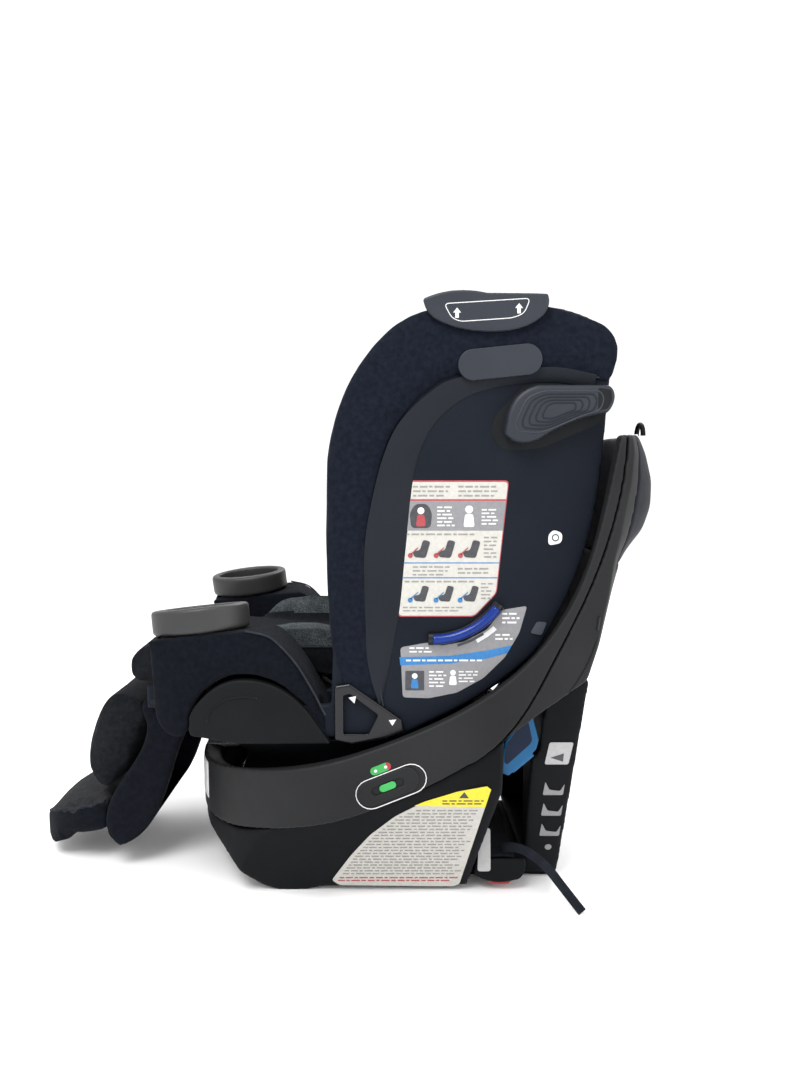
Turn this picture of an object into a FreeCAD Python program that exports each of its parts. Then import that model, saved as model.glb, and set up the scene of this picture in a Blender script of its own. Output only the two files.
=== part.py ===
"""A rotating convertible car seat: base, turntable, seat, headrest and leg rest.

Frame: origin on the ground under the swivel, +X to the vehicle's rear,
+Y to the seat's right-hand side, +Z up. The child faces -X.
"""
import FreeCAD, Part
import math
import os

Vector = FreeCAD.Vector
doc = FreeCAD.newDocument("car_seat")

# ---------------------------------------------------------------- sizes (mm)
SIZES = {
    "base_width": 470, "base_height": 620, "base_front": 283,
    "swivel_tilt": 15, "swivel_x": -43, "swivel_z": 150, "swivel_gap": 4,
    "turntable_radius": 184, "turntable_plate": 24, "cradle_width": 240, "cradle_radius": 455,
    "recline_x": 150, "recline_z": 640, "recline_gap": 5,
    "shell_width": 410, "shell_wall": 9, "seat_inner": 252, "skirt_void": 58, "skirt_middle": 164,
    "floor_width": 240, "floor_thick": 8, "lower_foot": 312, "lower_top": 460, "lower_rise": 165,
    "rear_foot": 246, "rear_top": 430, "rear_height": 300,
    "bolster_width": 84, "bolster_gap": 130, "cover_thick": 18, "cover_face": 214,
    "wing_thick": 44, "wing_face": 212, "guide_thick": 8, "guide_face": 213.5,
    "pod_thick": 23, "pod_face": 228, "badge_thick": 3.5, "badge_face": 216,
    "handle_thick": 8, "handle_face": 221, "level_radius": 97, "level_tube": 6, "level_face": 206,
    "collar_long": 61, "collar_wide": 43, "collar_high": 31, "cup_deep": 50, "cup_wall": 4,
    "cup_bore_long": 49, "cup_bore_wide": 29, "cup_tilt": 6, "cup_rise": 6,
    "cup_x": -247, "cup_y": 170, "cup_z": 346,
    "headrest_width": 316, "headrest_depth": 120, "headrest_high": 235, "headrest_wall": 9,
    "headrest_lean": 9.6, "headrest_pad_thick": 30,
    "strap_width": 38, "strap_thick": 2.4, "strap_side": 42, "crotch_width": 34,
    "legrest_width": 208, "calf_width": 176, "tongue_width": 190,
    "lockoff_thick": 9, "lockoff_face": 194, "bezel_long": 78, "bezel_wide": 30, "bezel_thick": 2.5,
    "flag_long": 21, "flag_wide": 9, "connector_width": 36, "connector_side": 146,
    "button_width": 26, "pivot_radius": 4.5, "hip_roll": 26, "hip_side": 112.5,
    "screw_radius": 6, "screw_head": 2.5,
    "foot_radius": 27, "foot_high": 10, "foot_x": -140, "foot_y": 128,
}
sheet = doc.addObject("Spreadsheet::Sheet", "Sizes")
for row, (alias, value) in enumerate(SIZES.items(), start=1):
    sheet.set(f"A{row}", alias)
    sheet.set(f"B{row}", str(value))
    sheet.setAlias(f"B{row}", alias)
doc.recompute()


def size(alias):
    """A driving dimension, read from the sheet."""
    return float(sheet.get(alias))


def half(alias):
    return size(alias) / 2


SIDES = {"left": 1, "right": -1}
PLANES = {"side": "XZ_Plane", "plan": "XY_Plane", "front": "YZ_Plane"}
nodes = []


def keep(label, shape_object):
    """Name a finished sub-part, so that it is checked and written."""
    shape_object.Label = label
    nodes.append(shape_object)
    return shape_object


# ------------------------------------------------------------- basic makers
def curve(points):
    spline = Part.BSplineCurve()
    spline.interpolate([Vector(a, b, 0) for a, b in points])
    return spline


class Round(list):
    """A run that is a true arc: its start and its middle point."""


def draw(sketch, runs):
    """Closed outline: each run ends where the next starts; two points make a line, more a curve."""
    for number, run in enumerate(runs):
        points = list(run) + [runs[(number + 1) % len(runs)][0]]
        vectors = [Vector(a, b, 0) for a, b in points]
        if isinstance(run, Round):
            sketch.addGeometry(Part.Arc(*vectors), False)
        elif len(points) == 2:
            sketch.addGeometry(Part.LineSegment(*vectors), False)
        else:
            sketch.addGeometry(curve(points), False)


def polygon(points):
    return [[point] for point in points]


def sketch_on(body, plane, runs):
    sketch = body.newObject("Sketcher::SketchObject", body.Name + "_outline")
    role = PLANES[plane]
    support = [item for item in body.Origin.OriginFeatures if item.Role == role][0]
    sketch.AttachmentSupport = [(support, "")]
    sketch.MapMode = "FlatFace"
    draw(sketch, runs)
    return sketch


def padded(name, plane, runs, thickness, fillet=None):
    """A body: one outline on an origin plane, padded by equal amounts to both sides."""
    body = doc.addObject("PartDesign::Body", name)
    sketch = sketch_on(body, plane, runs)
    pad = body.newObject("PartDesign::Pad", name + "_pad")
    pad.Profile = sketch
    pad.SideType = "Symmetric"
    pad.setExpression("Length", thickness)
    doc.recompute()
    if fillet:
        rounding = body.newObject("PartDesign::Fillet", name + "_fillet")
        rounding.Base = (pad, [""])
        rounding.UseAllEdges = True
        rounding.Radius = fillet
        doc.recompute()
    return body


def turned(name, runs):
    """A body of revolution about its own Z axis; runs are (radius, height)."""
    body = doc.addObject("PartDesign::Body", name)
    sketch = sketch_on(body, "side", runs)
    spin = body.newObject("PartDesign::Revolution", name + "_turn")
    spin.Profile = sketch
    spin.ReferenceAxis = (sketch, ["V_Axis"])
    spin.Angle = 360
    doc.recompute()
    return body


def on_swivel(shape_object):
    """Stand an object made about Z on the tilted swivel axis."""
    base = Vector(size("swivel_x"), 0, size("swivel_z"))
    tilt = FreeCAD.Rotation(Vector(0, 1, 0), -size("swivel_tilt"))
    shape_object.Placement = FreeCAD.Placement(base, tilt)
    doc.recompute()
    return shape_object


def placed(shape_object, x=0, y=0, z=0, axis=None, angle=0):
    rotation = FreeCAD.Rotation(axis, angle) if axis else FreeCAD.Rotation()
    shape_object.Placement = FreeCAD.Placement(Vector(x, y, z), rotation)
    doc.recompute()
    return shape_object


def combined(kind, name, first, second):
    """Boolean of two objects: kind is Cut, Common or Fuse."""
    result = doc.addObject("Part::" + kind, name)
    result.Base = first
    result.Tool = second
    result.Refine = True
    doc.recompute()
    return result


def block(name, low, high):
    box = doc.addObject("Part::Box", name)
    box.Length, box.Width, box.Height = [b - a for a, b in zip(low, high)]
    return placed(box, *low)


def rod(name, radius, length, base, axis=Vector(0, 0, 1)):
    cylinder = doc.addObject("Part::Cylinder", name)
    cylinder.Radius = radius
    cylinder.Height = length
    cylinder.Placement = FreeCAD.Placement(Vector(*base), FreeCAD.Rotation(Vector(0, 0, 1), axis))
    doc.recompute()
    return cylinder


def group(name, members):
    gathered = doc.addObject("Part::Compound", name)
    gathered.Links = members
    doc.recompute()
    return gathered


def side_pair(label, runs, thickness, face, fillet=None):
    """Two equal plates, one each side, whose outer faces lie at y = +face and -face."""
    pair = {}
    for side, sign in SIDES.items():
        plate = padded(f"{label}_{side}", "side", runs, "Sizes." + thickness, fillet)
        centre = size(face) - half(thickness)
        pair[side] = keep(f"{label}_{side}", placed(plate, y=sign * centre))
    return pair


# --------------------------------------------------- swivel clearance tools
# (radius, height) about the tilted swivel: everything that turns stays inside.
SWEPT_RISE = [(206, 55), (222, 66), (246, 76), (283, 95), (325, 124), (362, 168),
              (393, 214), (417, 267), (436, 315), (450, 350)]
SWEPT_WIDE = 700
SWEPT_TOP = 900


def swept(name, gap):
    """Solid of the space that the turning seat may use, grown by a gap."""
    floor = 2 - gap
    rise = [(radius + gap, height - gap) for radius, height in SWEPT_RISE]
    runs = [[(0, floor)], [(rise[0][0], floor)], rise[:-1], [rise[-1]],
            [(SWEPT_WIDE, rise[-1][1])], [(SWEPT_WIDE, SWEPT_TOP)], [(0, SWEPT_TOP)]]
    return on_swivel(turned(name, runs))


swept_seat = swept("swept_seat", 0)
swept_base = swept("swept_base", size("swivel_gap"))

# ------------------------------------------------------------------- base
RIM = [(-300, 166), (-223, 171), (-132, 186), (1, 228), (120, 292), (201, 389), (238, 502), (255, 590)]
CREASE = [(166, 259), (84, 198), (1, 155), (-83, 124), (-168, 103), (-230, 88), (-300, 78)]
SEAM = [(262, 590), (239, 456), (217, 397), (183, 326), (143, 253), (88, 199)]
BASE_REAR = 400


def base_plan(inset):
    """Plan of the base: a half round front and straight sides."""
    reach = half("base_width") - inset
    centre = reach - size("base_front") + inset
    steps = 8
    front = []
    for step in range(steps + 1):
        turn = math.pi / 2 + math.pi * step / steps
        front.append((centre + reach * math.cos(turn), reach * math.sin(turn)))
    return [[(BASE_REAR, -reach)], [(BASE_REAR, reach)], front[:-1], [front[-1]]]


def base_prism(name, inset):
    plan = padded(name, "plan", base_plan(inset), "Sizes.base_height * 2")
    return plan


def make_base_shell():
    """Hoop-shaped casing: a front band and two arms that rise to the tall back."""
    outline = [RIM[:-1], [RIM[-1]], SEAM[:-1], [SEAM[-1]], CREASE[1:-1], [CREASE[-1]]]
    band = padded("hoop_band", "side", outline, "Sizes.base_width + 20")
    hoop = combined("Common", "hoop_block", band, base_prism("hoop_plan", 0))
    return keep("base_shell", combined("Cut", "hoop_cut", hoop, swept_base))


def wedge(name, foot, top, rise, height, trim=0):
    """Cross-section that widens from the ground to a straight wall, run along X."""
    foot_half, top_half = size(foot) / 2 - trim, size(top) / 2 - trim
    points = [(-foot_half, -20), (foot_half, -20), (foot_half, 0), (top_half, rise), (top_half, height),
              (-top_half, height), (-top_half, rise), (-foot_half, 0)]
    return padded(name, "front", polygon(points), "Sizes.base_height * 2")


def make_base_lower(hoop, feet):
    """Lower housing: front foot, label flank and the front wall of the belt path."""
    foot = [(-300, 76), (-286, 66), (-245, 56), (-215, 38), (-192, 18), (-172, 4)]
    outline = [foot, [(-160, 0)], [(-118, 0)], [(-100, 5)], [(88, 8)], [(124, 160)], [(126, 226)],
               [(84, 197), (1, 154), (-83, 123), (-168, 102), (-230, 87), (-300, 77)]]
    side = padded("lower_side", "side", outline, "Sizes.base_width")
    section = wedge("lower_section", "lower_foot", "lower_top", size("lower_rise"), 400)
    solid = combined("Common", "lower_block", side, section)
    solid = combined("Common", "lower_plan_cut", solid, base_prism("lower_plan", 2.5))
    solid = combined("Cut", "lower_bowl", solid, swept_base)
    inside = polygon([(-214, 64), (-150, 8), (-150, -5), (76, -5), (80, 10), (110, 150), (84, 164),
                      (-214, 84)])
    cavity = padded("lower_cavity", "side", inside, "Sizes.base_width")
    lining = wedge("lower_lining", "lower_foot", "lower_top", size("lower_rise"), 400, 13)
    hollow = combined("Common", "lower_hollow", cavity, lining)
    hollow = combined("Common", "lower_hollow_front", hollow, base_prism("lower_plan_inside", 14))
    solid = combined("Cut", "lower_open", solid, hollow)
    solid = combined("Cut", "lower_footed", solid, feet)
    keep("base_lower", combined("Cut", "lower_cut", solid, hoop))


def make_base_floor(feet):
    """Floor plate: closes the housing and ties it to the rear panel."""
    width, thick = half("floor_width"), size("floor_thick")
    plate = block("floor_plate", (-148, -width + 4, 0), (208, width - 4, thick - 0.2))
    keep("base_floor", combined("Cut", "floor_cut", plate, feet))


def make_rear_panel():
    """Lower rear wall: a hollow box that narrows to the ground."""
    outline = polygon([(176, 238), (181, 266), (224, 300), (229, 293), (212, 8), (166, 8), (166, 184),
                       (176, 198)])
    side = padded("panel_side", "side", outline, "Sizes.base_width")
    section = wedge("panel_section", "rear_foot", "rear_top", size("rear_height") - 8, 400)
    solid = combined("Common", "panel_block", side, section)
    hollow = padded("panel_hollow", "side", polygon([(150, 20), (200, 20), (212, 250), (150, 232)]),
                    "Sizes.rear_foot - 24")
    return keep("rear_panel", combined("Cut", "panel_cut", solid, hollow))


# Tall back, level by level: height, rear edge at the arms, bulge at the middle.
BACK_LEVELS = [(180, 196, 20), (260, 210, 30), (338, 233, 40), (400, 245, 42), (440, 250, 54),
               (470, 256, 80), (500, 261, 86), (535, 267, 79), (568, 270, 64), (598, 266, 50)]
BACK_FRONT = 60


def back_section(number, height, edge, bulge):
    """One level of the tall back: a D whose round side faces the rear."""
    reach = half("base_width") - 1
    sketch = doc.addObject("Sketcher::SketchObject", f"back_level_{number}")
    points = []
    steps = 8
    for step in range(steps + 1):
        across = -1 + 2 * step / steps
        points.append((edge + bulge * (1 - across ** 2), across * reach))
    draw(sketch, [[(BACK_FRONT, -reach)], points[:-1], [points[-1]], [(BACK_FRONT, reach)]])
    return placed(sketch, z=height)


def make_tall_back():
    """Curved wall between the arms, and the bulged housing on its upper middle."""
    loft = doc.addObject("Part::Loft", "back_loft")
    loft.Sections = [back_section(number, *level) for number, level in enumerate(BACK_LEVELS)]
    loft.Solid = True
    loft.Ruled = True
    doc.recompute()
    seam = [(x + 0.8, z - 0.8) for x, z in reversed(SEAM)]
    outline = [seam[:-1], [seam[-1]], [(420, 604)], [(420, 290)], [(226, 302)], [(167, 259)]]
    region = padded("back_region", "side", outline, "Sizes.base_width + 20")
    solid = combined("Common", "back_block", loft, region)
    solid = combined("Cut", "back_bowl", solid, swept_base)
    reach = half("base_width") - 28
    window = block("cover_window", (230, -reach, 430), (420, reach, 640))
    keep("back_shell", combined("Cut", "back_cut", solid, window))
    return keep("back_cover", combined("Common", "cover_cut", solid, window))


def make_base_feet():
    """Two round anti-slip pads, sunk flush in the underside."""
    feet = []
    for side, sign in SIDES.items():
        place = (size("foot_x"), sign * size("foot_y"), 0)
        feet.append(rod(f"foot_{side}", size("foot_radius"), size("foot_high"), place))
    return keep("base_feet", group("foot_pads", feet))


def make_base_details(panel, cover):
    """Bearing race, screws and tether ring."""
    race = size("turntable_radius") + 3
    profile = polygon([(race, -2), (race + 14, -2), (race + 14, 12), (race + 4, 16), (race, 16)])
    keep("swivel_ring", on_swivel(turned("race", profile)))
    screws = []
    for level in (60, 200):
        for side, sign in SIDES.items():
            lean = (212 - 229) / (8 - 293) * (level - 8)
            screws.append(rod(f"screw_{level}_{side}", size("screw_radius"), size("screw_head"),
                              (212 + lean - 0.3, sign * 80, level), Vector(1, 0, 0)))
    keep("base_screws", combined("Cut", "screw_heads", group("screws", screws), panel))
    ring = doc.addObject("Part::Torus", "tether_torus")
    ring.Radius1 = 14
    ring.Radius2 = 3
    ring.Angle3 = 180
    upright = FreeCAD.Rotation(Vector(0, 0, 1), 90).multiply(FreeCAD.Rotation(Vector(1, 0, 0), 90))
    ring.Placement = FreeCAD.Placement(Vector(300, -150, 590), upright)
    doc.recompute()
    keep("tether_loop", combined("Cut", "tether_cut", ring, cover))


def stadium(long, wide):
    """Outline of a slot with round ends, centred on the origin."""
    reach, radius = long / 2 - wide / 2, wide / 2
    steps = 6
    ends = []
    for centre, start in ((reach, -90), (-reach, 90)):
        ends.append([(centre + radius * math.cos(math.radians(start + 180 * step / steps)),
                      radius * math.sin(math.radians(start + 180 * step / steps)))
                     for step in range(steps + 1)])
    return [ends[0][:-1], [ends[0][-1]], ends[1][:-1], [ends[1][-1]]]


LOCK_X, LOCK_Z, LOCK_SLOPE = -14, 172, 22


def make_lock_windows():
    """Oval bezel and sliding flag on each arm."""
    face = half("base_width")
    bezels = []
    for side, sign in SIDES.items():
        for label, long, wide, thick, out in (
                ("lock_bezel", "bezel_long", "bezel_wide", "bezel_thick", 0),
                ("lock_flag", "flag_long", "flag_wide", "bezel_thick", 0.4)):
            outline = stadium(size(long), size(wide))
            plate = padded(f"{label}_{side}_plate", "side", outline, "Sizes." + thick)
            placed(plate, LOCK_X, sign * (face + half(thick) + out), LOCK_Z, Vector(0, 1, 0), -LOCK_SLOPE)
            if label == "lock_bezel":
                slot = stadium(size("flag_long") + 20, size("flag_wide") + 1.6)
                hole = padded(f"lock_hole_{side}", "side", slot, "Sizes.bezel_thick * 4")
                placed(hole, LOCK_X, sign * face, LOCK_Z, Vector(0, 1, 0), -LOCK_SLOPE)
                plate = combined("Cut", f"{label}_{side}_cut", plate, hole)
                bezels.append(plate)
            else:
                keep(f"{label}_{side}", plate)
    keep("lock_bezels", group("bezels", bezels))


def make_belt_hardware():
    """Blue lock-offs, lower anchor connectors, their buttons and the webbing."""
    lever = polygon([(126.6, 172), (136, 168), (170, 202), (173, 214), (165, 245), (156, 245), (131, 212),
                     (127.4, 190)])
    middle, along = Vector(152.5, 0, 185.5), Vector(0.755, 0, 0.656)
    for side, sign in SIDES.items():
        centre = sign * (size("lockoff_face") - half("lockoff_thick"))
        blade = placed(padded(f"lever_{side}", "side", lever, "Sizes.lockoff_thick", 2), y=centre)
        start = middle - along * 17 + Vector(0, centre, 0)
        pivot = rod(f"lever_pivot_{side}", size("pivot_radius"), 34, start, along)
        keep(f"lockoff_{side}", combined("Fuse", f"lever_fuse_{side}", blade, pivot))
    body = [[(96, 24), (112, 16)], [(150, 16), (160, 22), (164, 34)], [(162, 46)], [(100, 46)]]
    button = polygon([(120, 9), (142, 9), (148, 15.5), (114, 15.5)])
    for side, sign in SIDES.items():
        reach = sign * size("connector_side")
        housing = padded(f"connector_{side}", "side", body, "Sizes.connector_width", 2.5)
        placed(housing, y=reach)
        pocket = block(f"press_pocket_{side}", (112, reach - 14, 10), (150, reach + 14, 21))
        keep(f"latch_connector_{side}", combined("Cut", f"connector_cut_{side}", housing, pocket))
        press = padded(f"press_{side}", "side", button, "Sizes.button_width", 1.5)
        keep(f"latch_button_{side}", placed(press, y=reach, z=-0.4))
    strap = padded("webbing", "side", polygon([(118, 48.5), (148, 48.5), (148, 51), (118, 51)]),
                   "Sizes.connector_side * 2 + Sizes.connector_width")
    keep("latch_strap", strap)


STRAP_TAIL = [(133, -150, 51.2), (137, -161, 62), (160, -178, 66), (186, -192, 50), (205, -203, 27),
              (226, -218, 4)]


def make_strap_tail():
    """Loose end of the anchor webbing: straight runs joined by tangent arcs."""
    points = [Vector(*point) for point in STRAP_TAIL]
    edges = []
    start = points[0]
    for before, corner, after in zip(points, points[1:], points[2:]):
        run_in, run_out = corner - before, after - corner
        turn = run_in.getAngle(run_out)
        reach = 0.45 * min(run_in.Length, run_out.Length)
        radius = reach / math.tan(turn / 2)
        first = corner - run_in.normalize() * reach
        last = corner + run_out.normalize() * reach
        bisector = (run_out - run_in).normalize()
        centre = corner + bisector * math.hypot(reach, radius)
        middle = centre - bisector * radius
        edges.append(Part.LineSegment(start, first).toShape())
        edges.append(Part.Arc(first, middle, last).toShape())
        start = last
    edges.append(Part.LineSegment(start, points[-1]).toShape())
    path = Part.Wire(edges)
    direction = (points[1] - points[0]).normalize()
    disc = Part.Wire(Part.Circle(points[0], direction, 2.5).toShape())
    tail = doc.addObject("Part::Feature", "tail")
    tail.Shape = path.makePipeShell([disc], True, False)
    keep("strap_tail", tail)


# -------------------------------------------------------------- turntable
def cradle_arc(radius, start, end):
    """An arc about the recline axis between two X positions: the run and its end point."""
    points = []
    for x in (start, (start + end) / 2, end):
        drop = math.sqrt(radius ** 2 - (x - size("recline_x")) ** 2)
        points.append((x, size("recline_z") - drop))
    return Round(points[:2]), [points[2]]


def make_turntable():
    """Disc, dark skirt and the cradle that the seat reclines on."""
    radius, plate = size("turntable_radius"), size("turntable_plate")
    flare = [(radius, plate), (radius - 14, plate + 12), (radius - 4, plate + 34)]
    profile = [[(12, 2)], [(radius, 2)], flare, [(radius + 22, 100)], [(radius + 12, 100)],
               [(radius - 24, plate + 12)], [(radius - 30, plate)], [(12, plate)]]
    cellar = on_swivel(turned("cellar", polygon([(26, 0), (radius - 12, 0), (radius - 12, plate - 9),
                                                 (26, plate - 9)])))
    dish = on_swivel(turned("dish", profile))
    trim = block("dish_trim", (-400, -300, 213), (400, 300, 500))
    dish = combined("Cut", "dish_cut", dish, trim)
    dish = combined("Cut", "dish_hollow", dish, cellar)
    cradle_radius = size("cradle_radius")
    top = cradle_arc(cradle_radius, -110, 20)
    outline = [*top, [(20, 176)], [(-110, 142)]]
    cradle = padded("cradle", "side", outline, "Sizes.cradle_width")
    inside = padded("cradle_void", "side", polygon([(-100, 168), (8, 190), (8, 199), (-100, 246)]),
                    "Sizes.cradle_width - 20")
    cradle = combined("Cut", "cradle_hollow", cradle, inside)
    disc = combined("Fuse", "turntable_fuse", dish, cradle)
    hub = on_swivel(turned("hub", polygon([(0, -1), (10, -1), (10, plate - 4), (0, plate - 4)])))
    keep("turntable", combined("Cut", "turntable_bore", disc, hub))
    keep("swivel_hub", hub)
    rails = []
    for side, sign in SIDES.items():
        outer = cradle_arc(cradle_radius, -106, 16)
        inner = cradle_arc(cradle_radius - size("recline_gap") + 1.2, 16, -106)
        rail = padded(f"rail_{side}", "side", [*outer, *inner], "Sizes.button_width")
        rails.append(placed(rail, y=sign * 70))
    keep("recline_rails", group("rails", rails))


# ------------------------------------------------------------------- seat
WING_FRONT = [(-72, 262), (-90, 331), (-95, 392), (-95, 470), (-90, 560), (-78, 613), (-58, 659), (-29, 699),
              (1, 725), (40, 741)]
WING_TOP = [(100, 747), (169, 748), (222, 734)]
WING_REAR = [(247, 722), (260, 700), (258, 668), (250, 648)]


def inset(points, dx, dz):
    return [(x + dx, z + dz) for x, z in points]


def make_seat_shell():
    """Bucket: two side walls, a back wall and the pan, in one moulding."""
    front = inset(WING_FRONT[1:], 9, -4)
    outline = [[(-252, 222)], [(-252, 262)], [(-84, 262)], front, inset(WING_TOP, 0, -9), [(244, 712)],
               [(252, 690)], [(246, 640), (240, 554), (226, 466), (200, 392), (160, 322)],
               [(100, 256), (60, 235), (30, 226)], [(-10, 222)]]
    outer = padded("shell_outer", "side", outline, "Sizes.shell_width")
    outer = combined("Common", "shell_swept", outer, swept_seat)
    lip = block("shell_lip", (-322, -122, 246), (-250, 122, 262))
    outer = combined("Fuse", "shell_fuse", outer, lip)
    ear = half("legrest_width") + 1.5
    for side, sign in SIDES.items():
        low, high = sorted((sign * ear, sign * (ear + 8)))
        tab = block(f"ear_{side}", (-338, low, 230), (-318, high, 262))
        bore = rod(f"ear_bore_{side}", 4.3, 400, (-330, -200, 238), Vector(0, 1, 0))
        tab = combined("Cut", f"ear_cut_{side}", tab, bore)
        outer = combined("Fuse", f"shell_ear_{side}", outer, tab)
    inner_outline = [[(-400, 262)], [(-240, 262)], [(-200, 276)], [(-110, 278), (-40, 262), (50, 246)],
                     [(94, 262), (118, 300), (150, 370), (182, 460), (206, 560), (222, 650)],
                     [(232, 745)], [(232, 800)], [(-400, 800)]]
    inner = padded("shell_inner", "side", inner_outline, "Sizes.shell_width - 2 * Sizes.shell_wall")
    bucket = combined("Cut", "shell_bucket", outer, inner)
    limit = size("cradle_radius") - size("recline_gap")
    arc = cradle_arc(limit, -118, 112)
    track = [*arc, [(112, 150)], [(-118, 150)]]
    under = padded("shell_track", "side", track, "Sizes.cradle_width + 10")
    bucket = combined("Cut", "shell_tracked", bucket, under)
    for side, sign in SIDES.items():
        void = polygon([(-243, 200), (86, 200), (86, 238), (44, 237), (-40, 254), (-110, 269), (-200, 268),
                        (-243, 254)])
        skirt = padded(f"skirt_{side}", "side", void, "Sizes.skirt_void")
        placed(skirt, y=sign * size("skirt_middle"))
        bucket = combined("Cut", f"shell_hollow_{side}", bucket, skirt)
    return keep("seat_shell", bucket)


def make_wing_pads(shell):
    """Padded fabric edge that wraps each wing."""
    outline = [WING_FRONT, WING_TOP, WING_REAR[:-1], [(250, 650), (247, 656)],
               [(186, 664), (140, 662), (70, 651)], [(36, 631), (6, 597), (-11, 558), (-25, 500), (-33, 440),
                                                     (-33, 345)], [(-20, 272)]]
    for side, sign in SIDES.items():
        blank = padded(f"wing_blank_{side}", "side", outline, "Sizes.wing_thick")
        placed(blank, y=sign * (size("wing_face") - half("wing_thick")))
        pad = combined("Cut", f"wing_cut_{side}", blank, shell)
        notch = block(f"wing_notch_{side}", (-100, min(205 * sign, 230 * sign), 200),
                      (20, max(205 * sign, 230 * sign), 292.5))
        keep(f"wing_pad_{side}", combined("Cut", f"wing_notched_{side}", pad, notch))


BOLSTER = [[(-305, 344)], [(-184, 357), (-157, 350), (-121, 312)], [(-88, 250)], [(-88, 222)],
           [(-112, 258), (-146, 288), (-182, 299), (-212, 296), (-243, 274)], [(-256, 246), (-259, 228)],
           [(-266, 220), (-284, 226)], [(-300, 268)]]
HALF_MOON = [[(-254, 226), (-256, 247), (-241, 271), (-210, 292), (-180, 295), (-144, 284), (-108, 252)],
             [(-84, 216)], [(-200, 216)]]


def cup_frame(shape_object, sign, lift):
    """Place an object made about Z on the tilted cup-holder axis."""
    turn = FreeCAD.Rotation(Vector(1, 0, 0), sign * size("cup_tilt"))
    lean = FreeCAD.Rotation(Vector(0, 1, 0), -size("cup_rise"))
    rotation = lean.multiply(turn)
    base = Vector(size("cup_x"), sign * size("cup_y"), size("cup_z"))
    shape_object.Placement = FreeCAD.Placement(base + rotation.multVec(Vector(0, 0, lift)), rotation)
    doc.recompute()
    return shape_object


def oval(long, wide):
    steps = 12
    points = [(long * math.cos(2 * math.pi * step / steps), wide * math.sin(2 * math.pi * step / steps))
              for step in range(steps + 1)]
    middle = steps // 2
    return [points[:middle], points[middle:-1]]


def make_arms(shell):
    """Padded arms, half-moon covers and lift-out cup holders."""
    deep, collar = size("cup_deep"), size("collar_high")
    wall = size("cup_wall")
    bore_long, bore_wide = size("cup_bore_long"), size("cup_bore_wide")
    for side, sign in SIDES.items():
        ring = padded(f"collar_{side}", "plan", oval(size("collar_long"), size("collar_wide")),
                      "Sizes.collar_high", 4)
        cup_frame(ring, sign, collar / 2 + 1)
        cup = padded(f"cup_{side}", "plan", oval(bore_long + wall - 1, bore_wide + wall - 1),
                     "Sizes.cup_deep + 6")
        cup_frame(cup, sign, -deep / 2 + 3)
        bore = padded(f"bore_{side}", "plan", oval(bore_long, bore_wide),
                      "Sizes.cup_deep + Sizes.collar_high + 20")
        cup_frame(bore, sign, (collar + 20 - deep) / 2 + wall)
        holder = combined("Fuse", f"holder_fuse_{side}", ring, cup)
        keep(f"cup_holder_{side}", combined("Cut", f"holder_cut_{side}", holder, bore))
        arm = padded(f"arm_{side}", "side", BOLSTER, "Sizes.bolster_width")
        placed(arm, y=sign * (size("bolster_gap") + half("bolster_width")))
        well = padded(f"well_{side}", "plan", oval(bore_long + wall + 1, bore_wide + wall + 1),
                      "Sizes.cup_deep + 80")
        cup_frame(well, sign, 40 - deep / 2 - 1)
        lid = padded(f"lid_{side}", "plan", oval(130, 90), "Sizes.cup_deep")
        cup_frame(lid, sign, deep / 2 + 0.4)
        arm = combined("Cut", f"arm_well_{side}", arm, well)
        arm = combined("Cut", f"arm_top_{side}", arm, lid)
        arm = keep(f"bolster_{side}", combined("Cut", f"arm_cut_{side}", arm, shell))
        cover = padded(f"moon_{side}", "side", HALF_MOON, "Sizes.cover_thick")
        placed(cover, y=sign * (size("cover_face") - half("cover_thick")))
        cover = combined("Cut", f"cover_shell_{side}", cover, shell)
        keep(f"side_cover_{side}", combined("Cut", f"cover_arm_{side}", cover, arm))


def make_side_trim():
    """Belt guides, impact pods, blank badges, lift handles and level tubes."""
    bars = polygon([(-79, 288), (-60, 291), (3, 246), (8, 226), (-58, 215), (-79, 220)])
    gap = polygon([(-68, 276), (-60, 278), (-26, 252), (-38, 228), (-68, 228)])
    for side, sign in SIDES.items():
        centre = sign * (size("guide_face") - half("guide_thick"))
        guide = placed(padded(f"guide_bar_{side}", "side", bars, "Sizes.guide_thick", 3), y=centre)
        hole = placed(padded(f"guide_gap_{side}", "side", gap, "Sizes.guide_thick + 20"), y=centre)
        guide = combined("Cut", f"guide_open_{side}", guide, hole)
        keep(f"belt_guide_{side}", combined("Common", f"guide_trim_{side}", guide, swept_seat))
    pod = [[(124, 604)], [(122, 590), (132, 582)], [(163, 584), (220, 610)],
           [(240, 614), (247, 624), (247, 640)], [(240, 646)], [(160, 646), (139, 636)]]
    side_pair("impact_pod", pod, "pod_thick", "pod_face", 5)
    badge = [[(x * math.cos(0.1) - z * math.sin(0.1) + 117, x * math.sin(0.1) + z * math.cos(0.1) + 673)
              for x, z in run] for run in stadium(98, 36)]
    side_pair("badge", badge, "badge_thick", "badge_face")
    grip = [[(27, 744), (30, 734)], [(40, 722), (58, 714), (105, 707), (150, 715)], [(166, 726), (172, 742)],
            [(170, 750)], [(100, 751), (40, 749)]]
    side_pair("rotate_handle", grip, "handle_thick", "handle_face", 2)
    for side, sign in SIDES.items():
        tube = doc.addObject("Part::Torus", f"level_{side}")
        tube.setExpression("Radius1", "Sizes.level_radius")
        tube.setExpression("Radius2", "Sizes.level_tube")
        tube.Angle3 = 53
        tilt = FreeCAD.Rotation(Vector(1, 0, 0), 90).multiply(FreeCAD.Rotation(Vector(0, 0, 1), -90))
        tube.Placement = FreeCAD.Placement(Vector(40, sign * (size("level_face") + 6), 442), tilt)
        doc.recompute()
        keep(f"level_tube_{side}", tube)


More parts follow.
